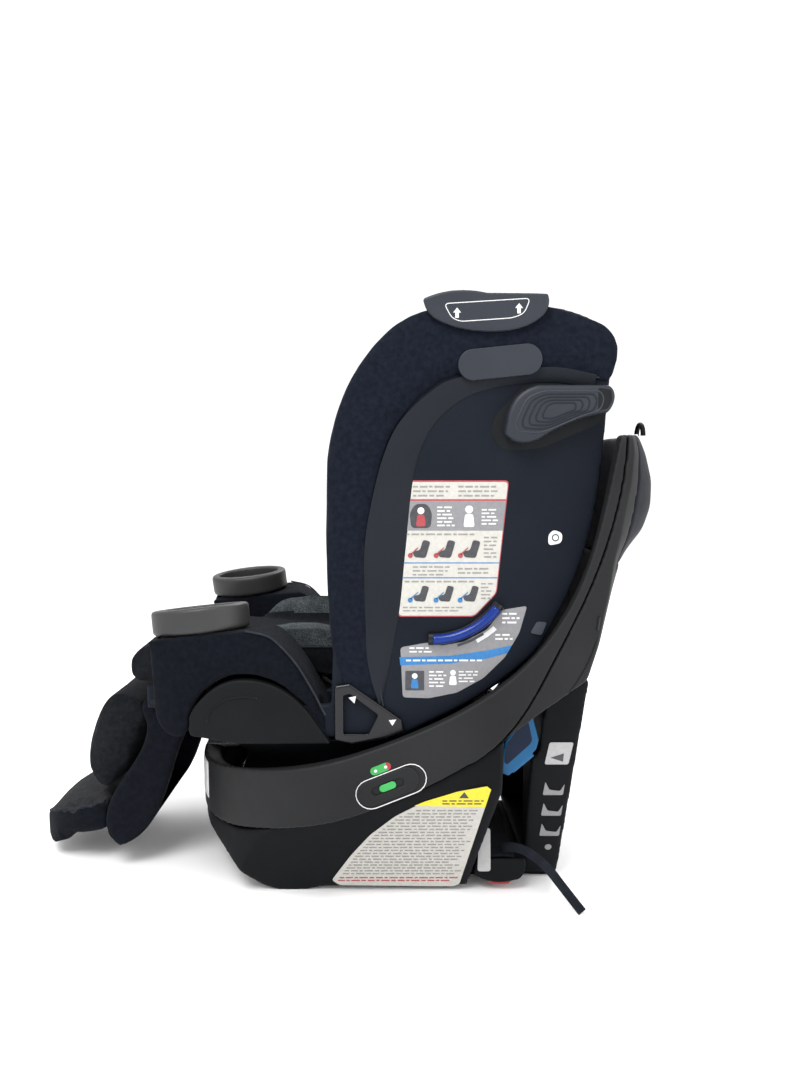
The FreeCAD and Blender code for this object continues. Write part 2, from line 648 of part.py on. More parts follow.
def make_cushions(straps):
    """Seat and back cushions, recessed under the straps and the adjuster."""
    seat = [[(-250, 265)], [(-338, 265), (-356, 268), (-364, 282), (-358, 306), (-338, 320)],
            [(-250, 316), (-150, 306), (-20, 300)], [(74, 292)], [(80, 262)],
            [(50, 249.5), (-40, 265.5), (-110, 281)], [(-200, 279)], [(-238, 265)]]
    pocket = block("adjuster_pocket", (-314, -18, 316), (-278, 18, 350))
    cushion = combined("Cut", "seat_pad_cut", padded("seat_pad", "side", seat, "Sizes.seat_inner"), pocket)
    roll = [[(-216, 300)], [(-212, 318), (-186, 343), (-150, 350), (-100, 350), (-60, 340)], [(-36, 296)]]
    for side, sign in SIDES.items():
        hip = placed(padded(f"hip_roll_{side}", "side", roll, "Sizes.hip_roll"), y=sign * size("hip_side"))
        cushion = combined("Fuse", f"hip_fuse_{side}", cushion, hip)
    keep("seat_cushion", cushion)
    back = [[(88, 292), (108, 300), (146, 370)], [(172, 447)], [(140, 458), (122, 448)],
            [(96, 372), (68, 322), (80, 300)]]
    pad = padded("back_pad", "side", back, "Sizes.headrest_width + 40")
    for number, strap in enumerate(straps):
        pad = combined("Cut", f"back_pad_cut_{number}", pad, strap)
    keep("back_cushion", pad)


def make_harness():
    """Shoulder straps, crotch strap, chest clip, buckle and adjuster."""
    thick = size("strap_thick")
    route = [(130, 456), (92, 380), (60, 324), (26, 306), (-36, 312)]
    under = []
    for (ax, az), (bx, bz) in zip(reversed(route), list(reversed(route))[1:] + [(134, 464)]):
        run = math.hypot(bx - ax, bz - az)
        under.append((ax + thick * (bz - az) / run, az - thick * (bx - ax) / run))
    straps = []
    for side, sign in SIDES.items():
        outline = [route[:-1], [route[-1]], under[:-1], [under[-1]]]
        strap = padded(f"strap_{side}", "side", outline, "Sizes.strap_width")
        straps.append(keep(f"shoulder_strap_{side}", placed(strap, y=sign * size("strap_side"))))
    clip = padded("clip", "side", polygon([(80, 380), (91, 401), (85, 405), (73, 384)]),
                  "2 * Sizes.strap_side + 16", 2)
    keep("chest_clip", clip)
    tongue = polygon([(-92, 306), (-89, 306), (-84, 330), (-87, 330)])
    keep("crotch_strap", padded("crotch", "side", tongue, "Sizes.crotch_width"))
    case = polygon([(-98, 331), (-76, 331), (-40, 336), (-40, 350), (-96, 346)])
    shell = padded("buckle_shell", "side", case, "Sizes.crotch_width + 12", 3)
    pocket = block("buckle_pocket", (-88, -13.5, 343), (-60, 13.5, 360))
    keep("buckle", combined("Cut", "buckle_cut", shell, pocket))
    press = padded("buckle_press", "side", polygon([(-86, 346), (-62, 347), (-62, 353), (-86, 352)]),
                   "Sizes.crotch_width - 10")
    keep("buckle_button", press)
    adjust = padded("adjust", "side", polygon([(-310, 322), (-282, 320.5), (-284, 326), (-306, 328)]),
                    "Sizes.crotch_width")
    keep("adjuster_button", adjust)
    return straps


def make_recline_handle():
    bar = block("recline_bar", (-268, -46, 227), (-254, 46, 241))
    keep("recline_handle", bar)


# --------------------------------------------------------------- headrest
HEAD_X, HEAD_Z = 176, 486


def u_plan(half_width, depth, wall):
    """U open to the front: back wall and two wings."""
    inner = half_width - wall
    return polygon([(0, -half_width), (0, half_width), (-depth, half_width), (-depth + 14, inner),
                    (-wall, inner), (-wall, -inner), (-depth + 14, -inner), (-depth, -half_width)])


def make_headrest():
    """Sliding headrest: moulded U, its pad and the squeeze release."""
    lean = size("headrest_lean")
    width, wall = half("headrest_width"), size("headrest_wall")
    thick, high = size("headrest_pad_thick"), size("headrest_high")
    shift = high / 2
    rise_x, rise_z = math.sin(math.radians(lean)) * shift, math.cos(math.radians(lean)) * shift
    shell = padded("head_u", "plan", u_plan(width, size("headrest_depth"), wall), "Sizes.headrest_high")
    keep("headrest_shell", placed(shell, HEAD_X + rise_x, 0, HEAD_Z + rise_z, Vector(0, 1, 0), lean))
    inner = width - wall - 0.3
    padding = u_plan(inner, size("headrest_depth") - 18, thick)
    pad = padded("head_pad", "plan", padding, "Sizes.headrest_high - 8")
    back = wall + 0.3
    cos, sin = math.cos(math.radians(lean)), math.sin(math.radians(lean))
    placed(pad, HEAD_X + rise_x - back * cos, 0, HEAD_Z + rise_z + back * sin, Vector(0, 1, 0), lean)
    keep("headrest_pad", pad)
    grip_x, grip_z = HEAD_X + sin * (high + 6) - 8 * cos, HEAD_Z + cos * (high + 6) + 8 * sin
    grip = block("head_release", (-8, -32, -5), (8, 32, 5))
    keep("headrest_release", placed(grip, grip_x, 0, grip_z, Vector(0, 1, 0), lean))


# --------------------------------------------------------------- leg rest
def make_legrest():
    """Hanging leg rest: side-walled frame, calf pad, heel tongue and pivot pin."""
    wall = [[(-286, 200), (-316, 122), (-361, 44)], [(-386, 32)], [(-400, 48), (-397, 95), (-371, 138)],
            [(-342, 206), (-346, 236)], [(-330, 247), (-316, 240)]]
    frame = padded("leg_wall", "side", wall, "Sizes.legrest_width")
    inner = [[(-270, 170), (-322, 96)], [(-350, 56)], [(-380, 50)], [(-386, 92), (-360, 140), (-332, 205)],
             [(-300, 260)], [(-250, 260)]]
    pocket = padded("leg_pocket", "side", inner, "Sizes.legrest_width - 40")
    frame = combined("Cut", "leg_open", frame, pocket)
    bore = rod("leg_bore", 4.3, 400, (-330, -200, 238), Vector(0, 1, 0))
    frame = keep("legrest_frame", combined("Cut", "leg_cut", frame, bore))
    reach = half("legrest_width") + 8
    pin = rod("leg_pin", 4.2, 2 * reach, (-330, -reach, 238), Vector(0, 1, 0))
    keep("legrest_pin", pin)
    calf = [[(-351, 234), (-370, 243), (-391, 245), (-412, 222), (-427, 182), (-430, 133), (-417, 110)],
            [(-402, 103), (-398, 112)], [(-373, 142)], [(-345, 208)]]
    calf = padded("calf_block", "side", calf, "Sizes.calf_width")
    keep("calf_pad", combined("Cut", "calf_cut", calf, frame))
    tongue = [[(-403, 100), (-444, 86), (-490, 70), (-517, 46)], [(-520, 30), (-508, 18)], [(-488, 16)],
              [(-470, 26), (-440, 42), (-402, 52)]]
    tongue = padded("tongue", "side", tongue, "Sizes.tongue_width")
    reach = half("tongue_width") + 1
    tip = []
    for step in range(9):
        turn = math.pi * step / 8
        tip.append((-424 - 95 * math.sin(turn), reach * math.cos(turn)))
    plan = padded("tongue_plan", "plan", [[(-390, -reach)], [(-390, reach)], tip[:-1], [tip[-1]]],
                  "Sizes.base_height")
    tongue = combined("Common", "tongue_round", tongue, plan)
    keep("legrest_tongue", combined("Cut", "tongue_cut", tongue, frame))


# ------------------------------------------------------------------ build
hoop = make_base_shell()
feet = make_base_feet()
make_base_lower(hoop, feet)
make_base_floor(feet)
panel = make_rear_panel()
cover = make_tall_back()
make_base_details(panel, cover)
make_lock_windows()
make_belt_hardware()
make_strap_tail()
make_turntable()
seat_shell = make_seat_shell()
make_wing_pads(seat_shell)
make_arms(seat_shell)
make_side_trim()
make_cushions(make_harness())
make_recline_handle()
make_headrest()
make_legrest()
doc.recompute()

for item in doc.Objects:
    for flag in ("Invalid", "Error"):
        if flag in item.State:
            raise RuntimeError(f"{item.Name} is {flag}")
for item in nodes:
    if item.Shape.isNull() or not item.Shape.isValid() or item.Shape.Volume < 1:
        raise RuntimeError(f"{item.Label} has no valid solid")

os.makedirs("parts", exist_ok=True)
for item in nodes:
    item.Shape.exportStep(f"parts/{item.Label}.step")
    print(item.Label, "solids", len(item.Shape.Solids), "volume", round(item.Shape.Volume / 1000, 1))
print(len(nodes), "nodes")
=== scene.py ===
import math

import bmesh
import bpy
import numpy as np
from mathutils import Matrix, Vector


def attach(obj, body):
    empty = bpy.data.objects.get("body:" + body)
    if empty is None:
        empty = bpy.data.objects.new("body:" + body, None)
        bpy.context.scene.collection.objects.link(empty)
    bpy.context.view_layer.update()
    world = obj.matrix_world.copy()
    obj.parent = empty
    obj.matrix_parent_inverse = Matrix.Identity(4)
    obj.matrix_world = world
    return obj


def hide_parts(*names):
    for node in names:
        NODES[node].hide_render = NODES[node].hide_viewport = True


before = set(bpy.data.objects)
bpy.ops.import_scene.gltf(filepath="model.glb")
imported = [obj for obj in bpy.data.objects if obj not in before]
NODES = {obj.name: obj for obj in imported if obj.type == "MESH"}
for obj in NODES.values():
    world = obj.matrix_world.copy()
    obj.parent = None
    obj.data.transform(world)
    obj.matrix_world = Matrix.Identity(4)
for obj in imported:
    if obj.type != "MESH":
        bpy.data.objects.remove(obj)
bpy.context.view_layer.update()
SIDES = {"left": 1, "right": -1}
SCENE = bpy.context.scene

# The camera, level with the seat and on its right: metres, millimetres of lens, degrees below level.
CAMERA_PLACE, CAMERA_LENS, CAMERA_DIP = (0, -1.18, 0.554), 27.04, 5.55
CLOTH_FRAMES = 20


def linked(name, data):
    """A new object in the scene."""
    made = bpy.data.objects.new(name, data)
    SCENE.collection.objects.link(made)
    return made


# ---- stage
def make_stage():
    """Wide pale floor, soft light all round and the camera."""
    bpy.ops.mesh.primitive_plane_add(size=60, location=(0, 0, 0))
    floor = bpy.context.object
    floor.name = "floor"
    material = bpy.data.materials.new("floor_paper")
    material.use_nodes = True
    tree = material.node_tree
    shader = tree.nodes["Principled BSDF"]
    grain = tree.nodes.new("ShaderNodeTexNoise")
    grain.inputs["Scale"].default_value = 3
    ramp = tree.nodes.new("ShaderNodeValToRGB")
    ramp.color_ramp.elements[0].color = (0.91, 0.91, 0.91, 1)
    ramp.color_ramp.elements[1].color = (0.94, 0.94, 0.94, 1)
    tree.links.new(grain.outputs["Fac"], ramp.inputs["Fac"])
    tree.links.new(ramp.outputs["Color"], shader.inputs["Base Color"])
    shader.inputs["Roughness"].default_value = 0.9
    floor.data.materials.append(material)

    world = bpy.data.worlds.new("studio")
    SCENE.world = world
    world.use_nodes = True
    sky = world.node_tree.nodes["Background"].inputs
    sky["Color"].default_value = (1, 1, 1, 1)
    sky["Strength"].default_value = 1.12

    def area(name, place, target, wide, power):
        lamp = bpy.data.lights.new(name, "AREA")
        lamp.size = wide
        lamp.energy = power
        lamp_object = linked(name, lamp)
        lamp_object.location = place
        aim = Vector(target) - Vector(place)
        lamp_object.rotation_euler = aim.to_track_quat("-Z", "Y").to_euler()

    area("key", (-0.7, -1.5, 2.4), (0, 0, 0.45), 1.2, 62)
    area("rim", (0.6, 1.2, 2.1), (0, 0, 0.4), 1.2, 40)
    area("fill", (1.6, -1.8, 1.0), (0.1, 0, 0.3), 1.6, 14)

    camera = bpy.data.cameras.new("camera")
    camera.lens = CAMERA_LENS
    camera.sensor_width = 36
    camera_object = linked("camera", camera)
    camera_object.location = CAMERA_PLACE
    camera_object.rotation_euler = (math.radians(90 - CAMERA_DIP), 0, 0)
    SCENE.camera = camera_object
    SCENE.view_settings.view_transform = "Standard"


# ---- materials
class Surface:
    """A procedural material: a Principled shader fed from object-space textures."""

    def __init__(self, name, roughness, **constants):
        self.material = bpy.data.materials.new(name)
        self.material.use_nodes = True
        self.tree = self.material.node_tree
        self.shader = self.tree.nodes["Principled BSDF"]
        self.shader.inputs["Roughness"].default_value = roughness
        for socket, value in constants.items():
            self.shader.inputs[socket.replace("_", " ")].default_value = value
        places = self.node("ShaderNodeTexCoord")
        self.coords, self.facing = places.outputs["Object"], places.outputs["Normal"]
        self.bumped = None

    def node(self, kind, inputs=(), **settings):
        """A new node with its settings, and its constant inputs by name."""
        made = self.tree.nodes.new(kind)
        for key, value in settings.items():
            setattr(made, key, value)
        for key, value in dict(inputs).items():
            made.inputs[key].default_value = value
        return made

    def link(self, source, target):
        self.tree.links.new(source, target)

    def noise(self, scale, detail=2.0):
        texture = self.node("ShaderNodeTexNoise", {"Scale": scale, "Detail": detail})
        self.link(self.coords, texture.inputs["Vector"])
        return texture.outputs["Fac"]

    def wave(self, direction, scale, distortion=0.0):
        inputs = {"Scale": scale, "Distortion": distortion, "Detail Scale": 2}
        texture = self.node("ShaderNodeTexWave", inputs, bands_direction=direction)
        self.link(self.coords, texture.inputs["Vector"])
        return texture.outputs["Fac"]

    def ribs(self, direction, scale, distortion=0.0):
        """Bands along one axis, fading out where the surface faces that axis."""
        parts = self.node("ShaderNodeSeparateXYZ")
        self.link(self.facing, parts.inputs[0])
        turned = self.maths("ABSOLUTE", parts.outputs[direction], 0)
        kept = self.maths("SUBTRACT", 1, turned)
        return self.maths("MULTIPLY", self.wave(direction, scale, distortion), kept)

    def maths(self, operation, a, b):
        step = self.node("ShaderNodeMath", operation=operation)
        for socket, value in zip(step.inputs, (a, b)):
            if isinstance(value, (int, float)):
                socket.default_value = value
            else:
                self.link(value, socket)
        return step.outputs[0]

    def ramp(self, factor, stops):
        ramp = self.node("ShaderNodeValToRGB")
        elements = ramp.color_ramp.elements
        while len(elements) < len(stops):
            elements.new(0.5)
        for element, (place, colour) in zip(elements, stops):
            element.position = place
            element.color = (*colour, 1)
        self.link(factor, ramp.inputs["Fac"])
        return ramp.outputs["Color"]

    def mix(self, factor, first, second):
        mixer = self.node("ShaderNodeMix", data_type="RGBA")
        self.link(factor, mixer.inputs["Factor"])
        for socket, value in ((mixer.inputs[6], first), (mixer.inputs[7], second)):
            if isinstance(value, tuple):
                socket.default_value = (*value, 1)
            else:
                self.link(value, socket)
        return mixer.outputs[2]

    def colour(self, source):
        self.link(source, self.shader.inputs["Base Color"])

    def rough(self, factor, low, high):
        spread = self.node("ShaderNodeMapRange", {"To Min": low, "To Max": high})
        self.link(factor, spread.inputs["Value"])
        self.link(spread.outputs["Result"], self.shader.inputs["Roughness"])

    def bump(self, height, strength, distance):
        step = self.node("ShaderNodeBump", {"Strength": strength, "Distance": distance})
        self.link(height, step.inputs["Height"])
        if self.bumped is not None:
            self.link(self.bumped, step.inputs["Normal"])
        self.bumped = step.outputs["Normal"]
        self.link(self.bumped, self.shader.inputs["Normal"])

    def edges(self):
        """How much an edge is paled, partly as wear and partly as painted highlight where edges catch light:
        0 on flats, 1 along sharp convex edges.
        """
        point = self.node("ShaderNodeNewGeometry").outputs["Pointiness"]
        spread = self.node("ShaderNodeMapRange", {"From Min": 0.52, "From Max": 0.62})
        self.link(point, spread.inputs["Value"])
        return spread.outputs["Result"]


def moulded(name, dark, light, roughness, grain, shine):
    """Moulded plastic: fine spark-eroded grain, slow random tone changes, and paler edges, partly wear and
    partly painted highlight.
    """
    surface = Surface(name, roughness, Specular_IOR_Level=shine)
    fine = surface.noise(900, 1)
    body = surface.ramp(surface.noise(7), [(0.3, dark), (0.7, light)])
    # Paler edge colour: painted highlight along edges that catch light, with some wear.
    edge_wear_and_highlight = tuple(min(1, value * 1.7 + 0.006) for value in light)
    surface.colour(surface.mix(surface.edges(), body, edge_wear_and_highlight))
    surface.rough(surface.noise(45), roughness - 0.05, roughness + 0.07)
    surface.bump(fine, grain, 0.0004)
    return surface.material


def knit(name, dark, light, pitch, depth):
    """Tight warp knit: crossing sets of fine ribs and a soft lint sheen."""
    surface = Surface(name, 0.92, Sheen_Weight=0.02, Sheen_Roughness=0.6, Specular_IOR_Level=0.05)
    level = surface.maths("ADD", surface.ribs("X", pitch, 0.6), surface.ribs("Y", pitch, 0.6))
    loops = surface.maths("MULTIPLY", surface.maths("ADD", level, surface.ribs("Z", pitch * 0.8, 0.6)), 0.6)
    mottled = surface.maths("ADD", surface.maths("MULTIPLY", loops, 0.3), surface.noise(160, 3))
    surface.colour(surface.ramp(mottled, [(0.35, dark), (0.95, light)]))
    surface.bump(loops, depth, 0.0005)
    surface.bump(surface.noise(24, 2), 0.12, 0.004)
    return surface.material


def heather(name, dark, middle, light, rib):
    """Heathered jersey: two yarn colours in flecks over shallow ribs."""
    surface = Surface(name, 0.95, Sheen_Weight=0.05, Sheen_Roughness=0.6, Specular_IOR_Level=0.08)
    flecks = surface.noise(720, 4)
    drift = surface.maths("MULTIPLY", surface.noise(60, 2), 0.25)
    mixed = surface.maths("ADD", surface.maths("MULTIPLY", flecks, 0.75), drift)
    surface.colour(surface.ramp(mixed, [(0.36, dark), (0.5, middle), (0.62, light)]))
    surface.bump(surface.maths("ADD", surface.ribs("X", rib, 0.8), surface.ribs("Y", rib, 0.8)), 0.5, 0.0009)
    surface.bump(flecks, 0.3, 0.0004)
    return surface.material


def woven(name, dark, light, pitch):
    """Webbing: a close twill with ribs along the strap."""
    surface = Surface(name, 0.75, Sheen_Weight=0.02, Specular_IOR_Level=0.08)
    weave = surface.maths("MULTIPLY", surface.wave("DIAGONAL", pitch), surface.wave("Y", pitch * 0.7))
    surface.colour(surface.ramp(surface.maths("ADD", weave, surface.noise(90)), [(0.4, dark), (1.0, light)]))
    surface.bump(weave, 0.6, 0.0006)
    return surface.material


def glossy(name, dark, light, roughness, coat, shine):
    """Smooth glossy moulding with faint flow marks."""
    surface = Surface(name, roughness, Coat_Weight=coat, Coat_Roughness=0.1, Specular_IOR_Level=shine)
    surface.colour(surface.ramp(surface.noise(14), [(0.3, dark), (0.7, light)]))
    surface.rough(surface.noise(60), roughness - 0.05, roughness + 0.08)
    surface.bump(surface.noise(120, 1), 0.05, 0.0004)
    return surface.material


def printed(name, colour, spread):
    """Printed film: nearly even ink with paper-like mottling."""
    surface = Surface(name, 0.5)
    pale = tuple(min(1, value * (1 + spread)) for value in colour)
    deep = tuple(value * (1 - spread) for value in colour)
    surface.colour(surface.ramp(surface.noise(220, 3), [(0.35, deep), (0.65, pale)]))
    surface.rough(surface.noise(70), 0.42, 0.58)
    surface.bump(surface.noise(500, 1), 0.08, 0.0002)
    return surface.material


def steel(name):
    surface = Surface(name, 0.3, Metallic=1.0)
    brushed = surface.wave("Z", 700, 3)
    surface.colour(surface.ramp(surface.noise(60), [(0.3, (0.4, 0.41, 0.43)), (0.7, (0.6, 0.61, 0.63))]))
    surface.rough(brushed, 0.24, 0.4)
    surface.bump(brushed, 0.1, 0.0002)
    return surface.material


# Each row: material name, darkest and lightest colour, then the numbers its maker takes.
PLASTICS = {  # roughness, grain, shine
    "charcoal": ("charcoal_plastic", (0.009, 0.0094, 0.01), (0.014, 0.0145, 0.0152), 0.55, 0.35, 0.15),
    "black": ("black_plastic", (0.0028, 0.0034, 0.0042), (0.0048, 0.0056, 0.0066), 0.55, 0.2, 0.07),
    "shell": ("shell_plastic", (0.0042, 0.006, 0.0105), (0.0066, 0.009, 0.015), 0.62, 0.3, 0.1),
    "moon": ("cover_plastic", (0.004, 0.0046, 0.0054), (0.0064, 0.0072, 0.0082), 0.58, 0.3, 0.09),
    "satin": ("satin_grey", (0.014, 0.0165, 0.023), (0.021, 0.0245, 0.0325), 0.44, 0.12, 0.25),
    "collar": ("collar_grey", (0.023, 0.0235, 0.024), (0.033, 0.0335, 0.034), 0.42, 0.12, 0.3),
    "band": ("band_grey", (0.0078, 0.0096, 0.0134), (0.0115, 0.0138, 0.0185), 0.58, 0.2, 0.12),
    "rubber": ("rubber", (0.008, 0.008, 0.009), (0.014, 0.014, 0.015), 0.8, 0.5, 0.22),
}
GLOSSES = {  # roughness, coat, shine
    "navy_gloss": ("navy_gloss", (0.003, 0.0042, 0.0085), (0.005, 0.0068, 0.013), 0.55, 0.0, 0.08),
    "black_gloss": ("black_gloss", (0.0025, 0.0028, 0.0042), (0.005, 0.0056, 0.0078), 0.24, 0.2, 0.25),
    "blue": ("level_blue", (0.0005, 0.013, 0.12), (0.001, 0.026, 0.21), 0.2, 0.15, 0.2),
    "cyan": ("lockoff_blue", (0.003, 0.058, 0.15), (0.006, 0.1, 0.24), 0.35, 0.1, 0.2),
    "deep_blue": ("lockoff_web", (0.0015, 0.006, 0.02), (0.003, 0.012, 0.035), 0.4, 0.1, 0.12),
    "red": ("latch_red", (0.2, 0.008, 0.013), (0.34, 0.016, 0.024), 0.3, 0.3, 0.35),
    "green": ("flag_green", (0.015, 0.22, 0.04), (0.03, 0.34, 0.07), 0.3, 0.3, 0.35),
}
KNITS = {  # ribs per metre, depth
    "knit": ("navy_knit", (0.0026, 0.0037, 0.0075), (0.0082, 0.0112, 0.02), 560, 0.5),
    # A darker copy of the navy knit: painted shade, used on the arm pads, the leg sleeve and the heel flap's
    # underside.
    "sleeve": ("sleeve_knit", (0.0015, 0.0022, 0.004), (0.0048, 0.0064, 0.0108), 560, 0.5),
    "knit_soft": ("charcoal_knit", (0.0036, 0.0042, 0.0056), (0.0115, 0.013, 0.016), 420, 0.6),
    "flap": ("flap_knit", (0.01, 0.0108, 0.0122), (0.026, 0.0275, 0.03), 420, 0.6),
    "piping": ("seam_piping", (0.014, 0.0155, 0.02), (0.03, 0.033, 0.04), 900, 0.3),
}
PRINTS = {  # one colour, and how far it strays
    "white": ("print_white", (0.62, 0.62, 0.62), 0.05),
    "paper": ("label_paper", (0.44, 0.43, 0.395), 0.05),
    "yellow": ("print_yellow", (0.68, 0.56, 0.02), 0.05),
    "pale_grey": ("print_pale_grey", (0.19, 0.19, 0.2), 0.05),
    "tag_grey": ("tag_grey", (0.34, 0.34, 0.34), 0.05),
    "ink": ("print_ink", (0.035, 0.036, 0.042), 0.2),
    "ink_pale": ("print_faint_ink", (0.22, 0.215, 0.205), 0.1),
    "ink_red": ("print_red", (0.32, 0.04, 0.05), 0.1),
    "ink_blue": ("print_blue", (0.015, 0.14, 0.36), 0.1),
}


def make_materials():
    look = {
        "heather": heather("heather_jersey", (0.015, 0.019, 0.021), (0.036, 0.043, 0.046),
                           (0.088, 0.098, 0.102), 240),
        "webbing": woven("webbing", (0.0045, 0.0056, 0.009), (0.014, 0.0165, 0.023), 520),
        "steel": steel("zinc_steel"),
    }
    for make, rows in ((moulded, PLASTICS), (glossy, GLOSSES), (knit, KNITS), (printed, PRINTS)):
        look.update({key: make(*row) for key, row in rows.items()})
    return look


# ---- mesh makers
def into_scene(name, mesh, material, smooth=True):
    piece = linked(name, mesh)
    mesh.materials.clear()
    mesh.materials.append(material)
    mesh.polygons.foreach_set("use_smooth", [smooth] * len(mesh.polygons))
    mesh.update()
    return piece


def finish_piece(piece, body):
    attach(piece, body)
    return piece


def built(build, name, turned=True):
    """The bmesh as a mesh, with its faces turned outwards."""
    if turned:
        bmesh.ops.recalc_face_normals(build, faces=build.faces)
    mesh = bpy.data.meshes.new(name)
    build.to_mesh(mesh)
    build.free()
    return mesh


def bridged(build, rows, closed=False):
    """Faces between successive rows of vertices, each row open or a closed ring."""
    for low, high in zip(rows, rows[1:]):
        for number in range(len(low) if closed else len(low) - 1):
            after = (number + 1) % len(low)
            build.faces.new((low[number], low[after], high[after], high[number]))


def applied(piece):
    """Turn the piece's modifiers into its mesh."""
    graph = bpy.context.evaluated_depsgraph_get()
    mesh = bpy.data.meshes.new_from_object(piece.evaluated_get(graph))
    piece.modifiers.clear()
    piece.data = mesh
    return piece


def smoothed(piece, rounds):
    smooth = piece.modifiers.new("smooth", "SMOOTH")
    smooth.factor = 0.5
    smooth.iterations = rounds


def remeshed(piece, voxel, rounds):
    """Even mesh of the same shape, its edges rounded by rounds of smoothing."""
    remesh = piece.modifiers.new("remesh", "REMESH")
    remesh.mode = "VOXEL"
    remesh.voxel_size = voxel
    smoothed(piece, rounds)
    applied(piece)


def shaded_smooth(piece):
    piece.data.polygons.foreach_set("use_smooth", [True] * len(piece.data.polygons))


def bare_copy(node, name, material):
    """New object from a copy of a CAD node's mesh, its loose vertices joined."""
    build = bmesh.new()
    build.from_mesh(NODES[node].data)
    bmesh.ops.remove_doubles(build, verts=build.verts, dist=0.00002)
    return into_scene(name, built(build, name, turned=False), material)


def painted(node, material):
    """Give a rigid CAD node that stays in view its material."""
    NODES[node].data.materials.clear()
    NODES[node].data.materials.append(material)


def soften(look, body, rows):
    """Stand-ins for rigid mouldings, with edges rounded as moulded ones are.

    Each row is a node, the piece's name, material, voxel, rounds and slot. No body means the node's own.
    """
    made = []
    for node, name, finish, voxel, rounds, slot in rows:
        piece = bare_copy(node, name, look[finish])
        remeshed(piece, voxel, rounds)
        shaded_smooth(piece)
        finish_piece(piece, body or node)
        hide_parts(node)
        made.append(piece)
    return made


def smooth_line(points, steps=8, closed=False):
    """Catmull-Rom line through 2-D or 3-D points."""
    count = len(points)
    vectors = [Vector(point) for point in points]
    line = []
    spans = count if closed else count - 1
    for span in range(spans):
        if closed:
            a, b, c, d = (vectors[(span + k) % count] for k in (-1, 0, 1, 2))
        else:
            b, c = vectors[span], vectors[span + 1]
            a = vectors[span - 1] if span > 0 else b * 2 - c
            d = vectors[span + 2] if span + 2 < count else c * 2 - b
        for step in range(steps):
            t = step / steps
            line.append(0.5 * (2 * b + (c - a) * t + (2 * a - 5 * b + 4 * c - d) * t * t
                               + (3 * b - a - 3 * c + d) * t ** 3))
    if not closed:
        line.append(vectors[-1])
    return line


def rounded(points, radius, steps=5):
    """Outline with its corners rounded."""
    outline = []
    count = len(points)
    for number in range(count):
        before, corner, after = (Vector(points[(number + k) % count]) for k in (-1, 0, 1))
        reach = min(radius, (before - corner).length * 0.45, (after - corner).length * 0.45)
        start = corner + (before - corner).normalized() * reach
        end = corner + (after - corner).normalized() * reach
        for step in range(steps + 1):
            t = step / steps
            outline.append(start * (1 - t) ** 2 + corner * 2 * t * (1 - t) + end * t * t)
    return outline


def stadium(centre, long, wide, slope, steps=10):
    """Slot-shaped outline about a centre, tilted by slope in degrees."""
    turn = Matrix.Rotation(math.radians(slope), 2)
    outline = []
    for side, start in ((1, -90), (-1, 90)):
        for step in range(steps + 1):
            angle = math.radians(start + 180 * step / steps)
            point = (side * (long - wide) / 2 + wide / 2 * math.cos(angle), wide / 2 * math.sin(angle))
            outline.append(turn @ Vector(point) + Vector(centre))
    return outline


class Wall:
    """A side wall, upright or leaning: y = foot + lean * z, on either side of the seat."""

    def __init__(self, foot, lean=0.0):
        self.foot, self.lean = foot, lean

    def place(self, point, sign, lift):
        x, z = point
        return Vector((x, sign * (self.foot + self.lean * z + lift), z))


# Side walls of the mouldings; the two leaning ones go from foot to head over their height.
SHELL_WALL = Wall(0.205)
HOOP_WALL = Wall(0.235)
FLANK_WALL = Wall(0.156, (0.23 - 0.156) / 0.165)
PANEL_WALL = Wall(0.123, (0.215 - 0.123) / 0.292)
HANDLE_WALL = Wall(0.221)
GUIDE_WALL = Wall(0.2135)
POD_WALL = Wall(0.228)


def plates(name, outlines, wall, sign, lift, thick, material, body):
    """Thin plates on a wall: closed outlines in (x, z), all in one piece."""
    build = bmesh.new()
    for outline in outlines:
        low = [build.verts.new(wall.place(point, sign, lift)) for point in outline]
        high = [build.verts.new(wall.place(point, sign, lift + thick)) for point in outline]
        build.faces.new(high)
        bridged(build, (low, high), closed=True)
    bmesh.ops.recalc_face_normals(build, faces=build.faces)
    bmesh.ops.triangulate(build, faces=[face for face in build.faces if len(face.verts) > 4])
    return finish_piece(into_scene(name, built(build, name, turned=False), material, False), body)


def both_sides(look, body, rows):
    """Plates on each side for every row: name, outlines, wall, lift, thickness and material."""
    for side, sign in SIDES.items():
        for name, outlines, wall, lift, thick, finish in rows:
            plates(f"{name}_{side}", outlines, wall, sign, lift, thick, look[finish], body.format(side=side))


def traced(name, kind, points):
    """A curve with one spline that follows the points, closed with caps where it is round."""
    curve = bpy.data.curves.new(name, "CURVE")
    curve.dimensions = "3D"
    curve.use_fill_caps = True
    spline = curve.splines.new(kind)
    spline.points.add(len(points) - 1)
    for target, point in zip(spline.points, points):
        target.co = (*point, 1)
    return curve, spline


def piping(name, points, radius, material, body, closed=False):
    """Round cord sewn or moulded along a line, as a mesh tube."""
    curve, spline = traced(name, "POLY", points)
    curve.bevel_depth = radius
    curve.bevel_resolution = 3
    spline.use_cyclic_u = closed
    carrier = linked(name + "_path", curve)
    graph = bpy.context.evaluated_depsgraph_get()
    mesh = bpy.data.meshes.new_from_object(carrier.evaluated_get(graph))
    bpy.data.objects.remove(carrier)
    return finish_piece(into_scene(name, mesh, material), body)


def on_wall(points, wall, sign, lift):
    return [wall.place(point, sign, lift) for point in points]


def piped(look, body, name, points, wall, lift, radius, finish, closed=False):
    """Piping along (x, z) points on a wall, on each side."""
    for side, sign in SIDES.items():
        line = on_wall(points, wall, sign, lift)
        piping(f"{name}_{side}", line, radius, look[finish], body.format(side=side), closed)


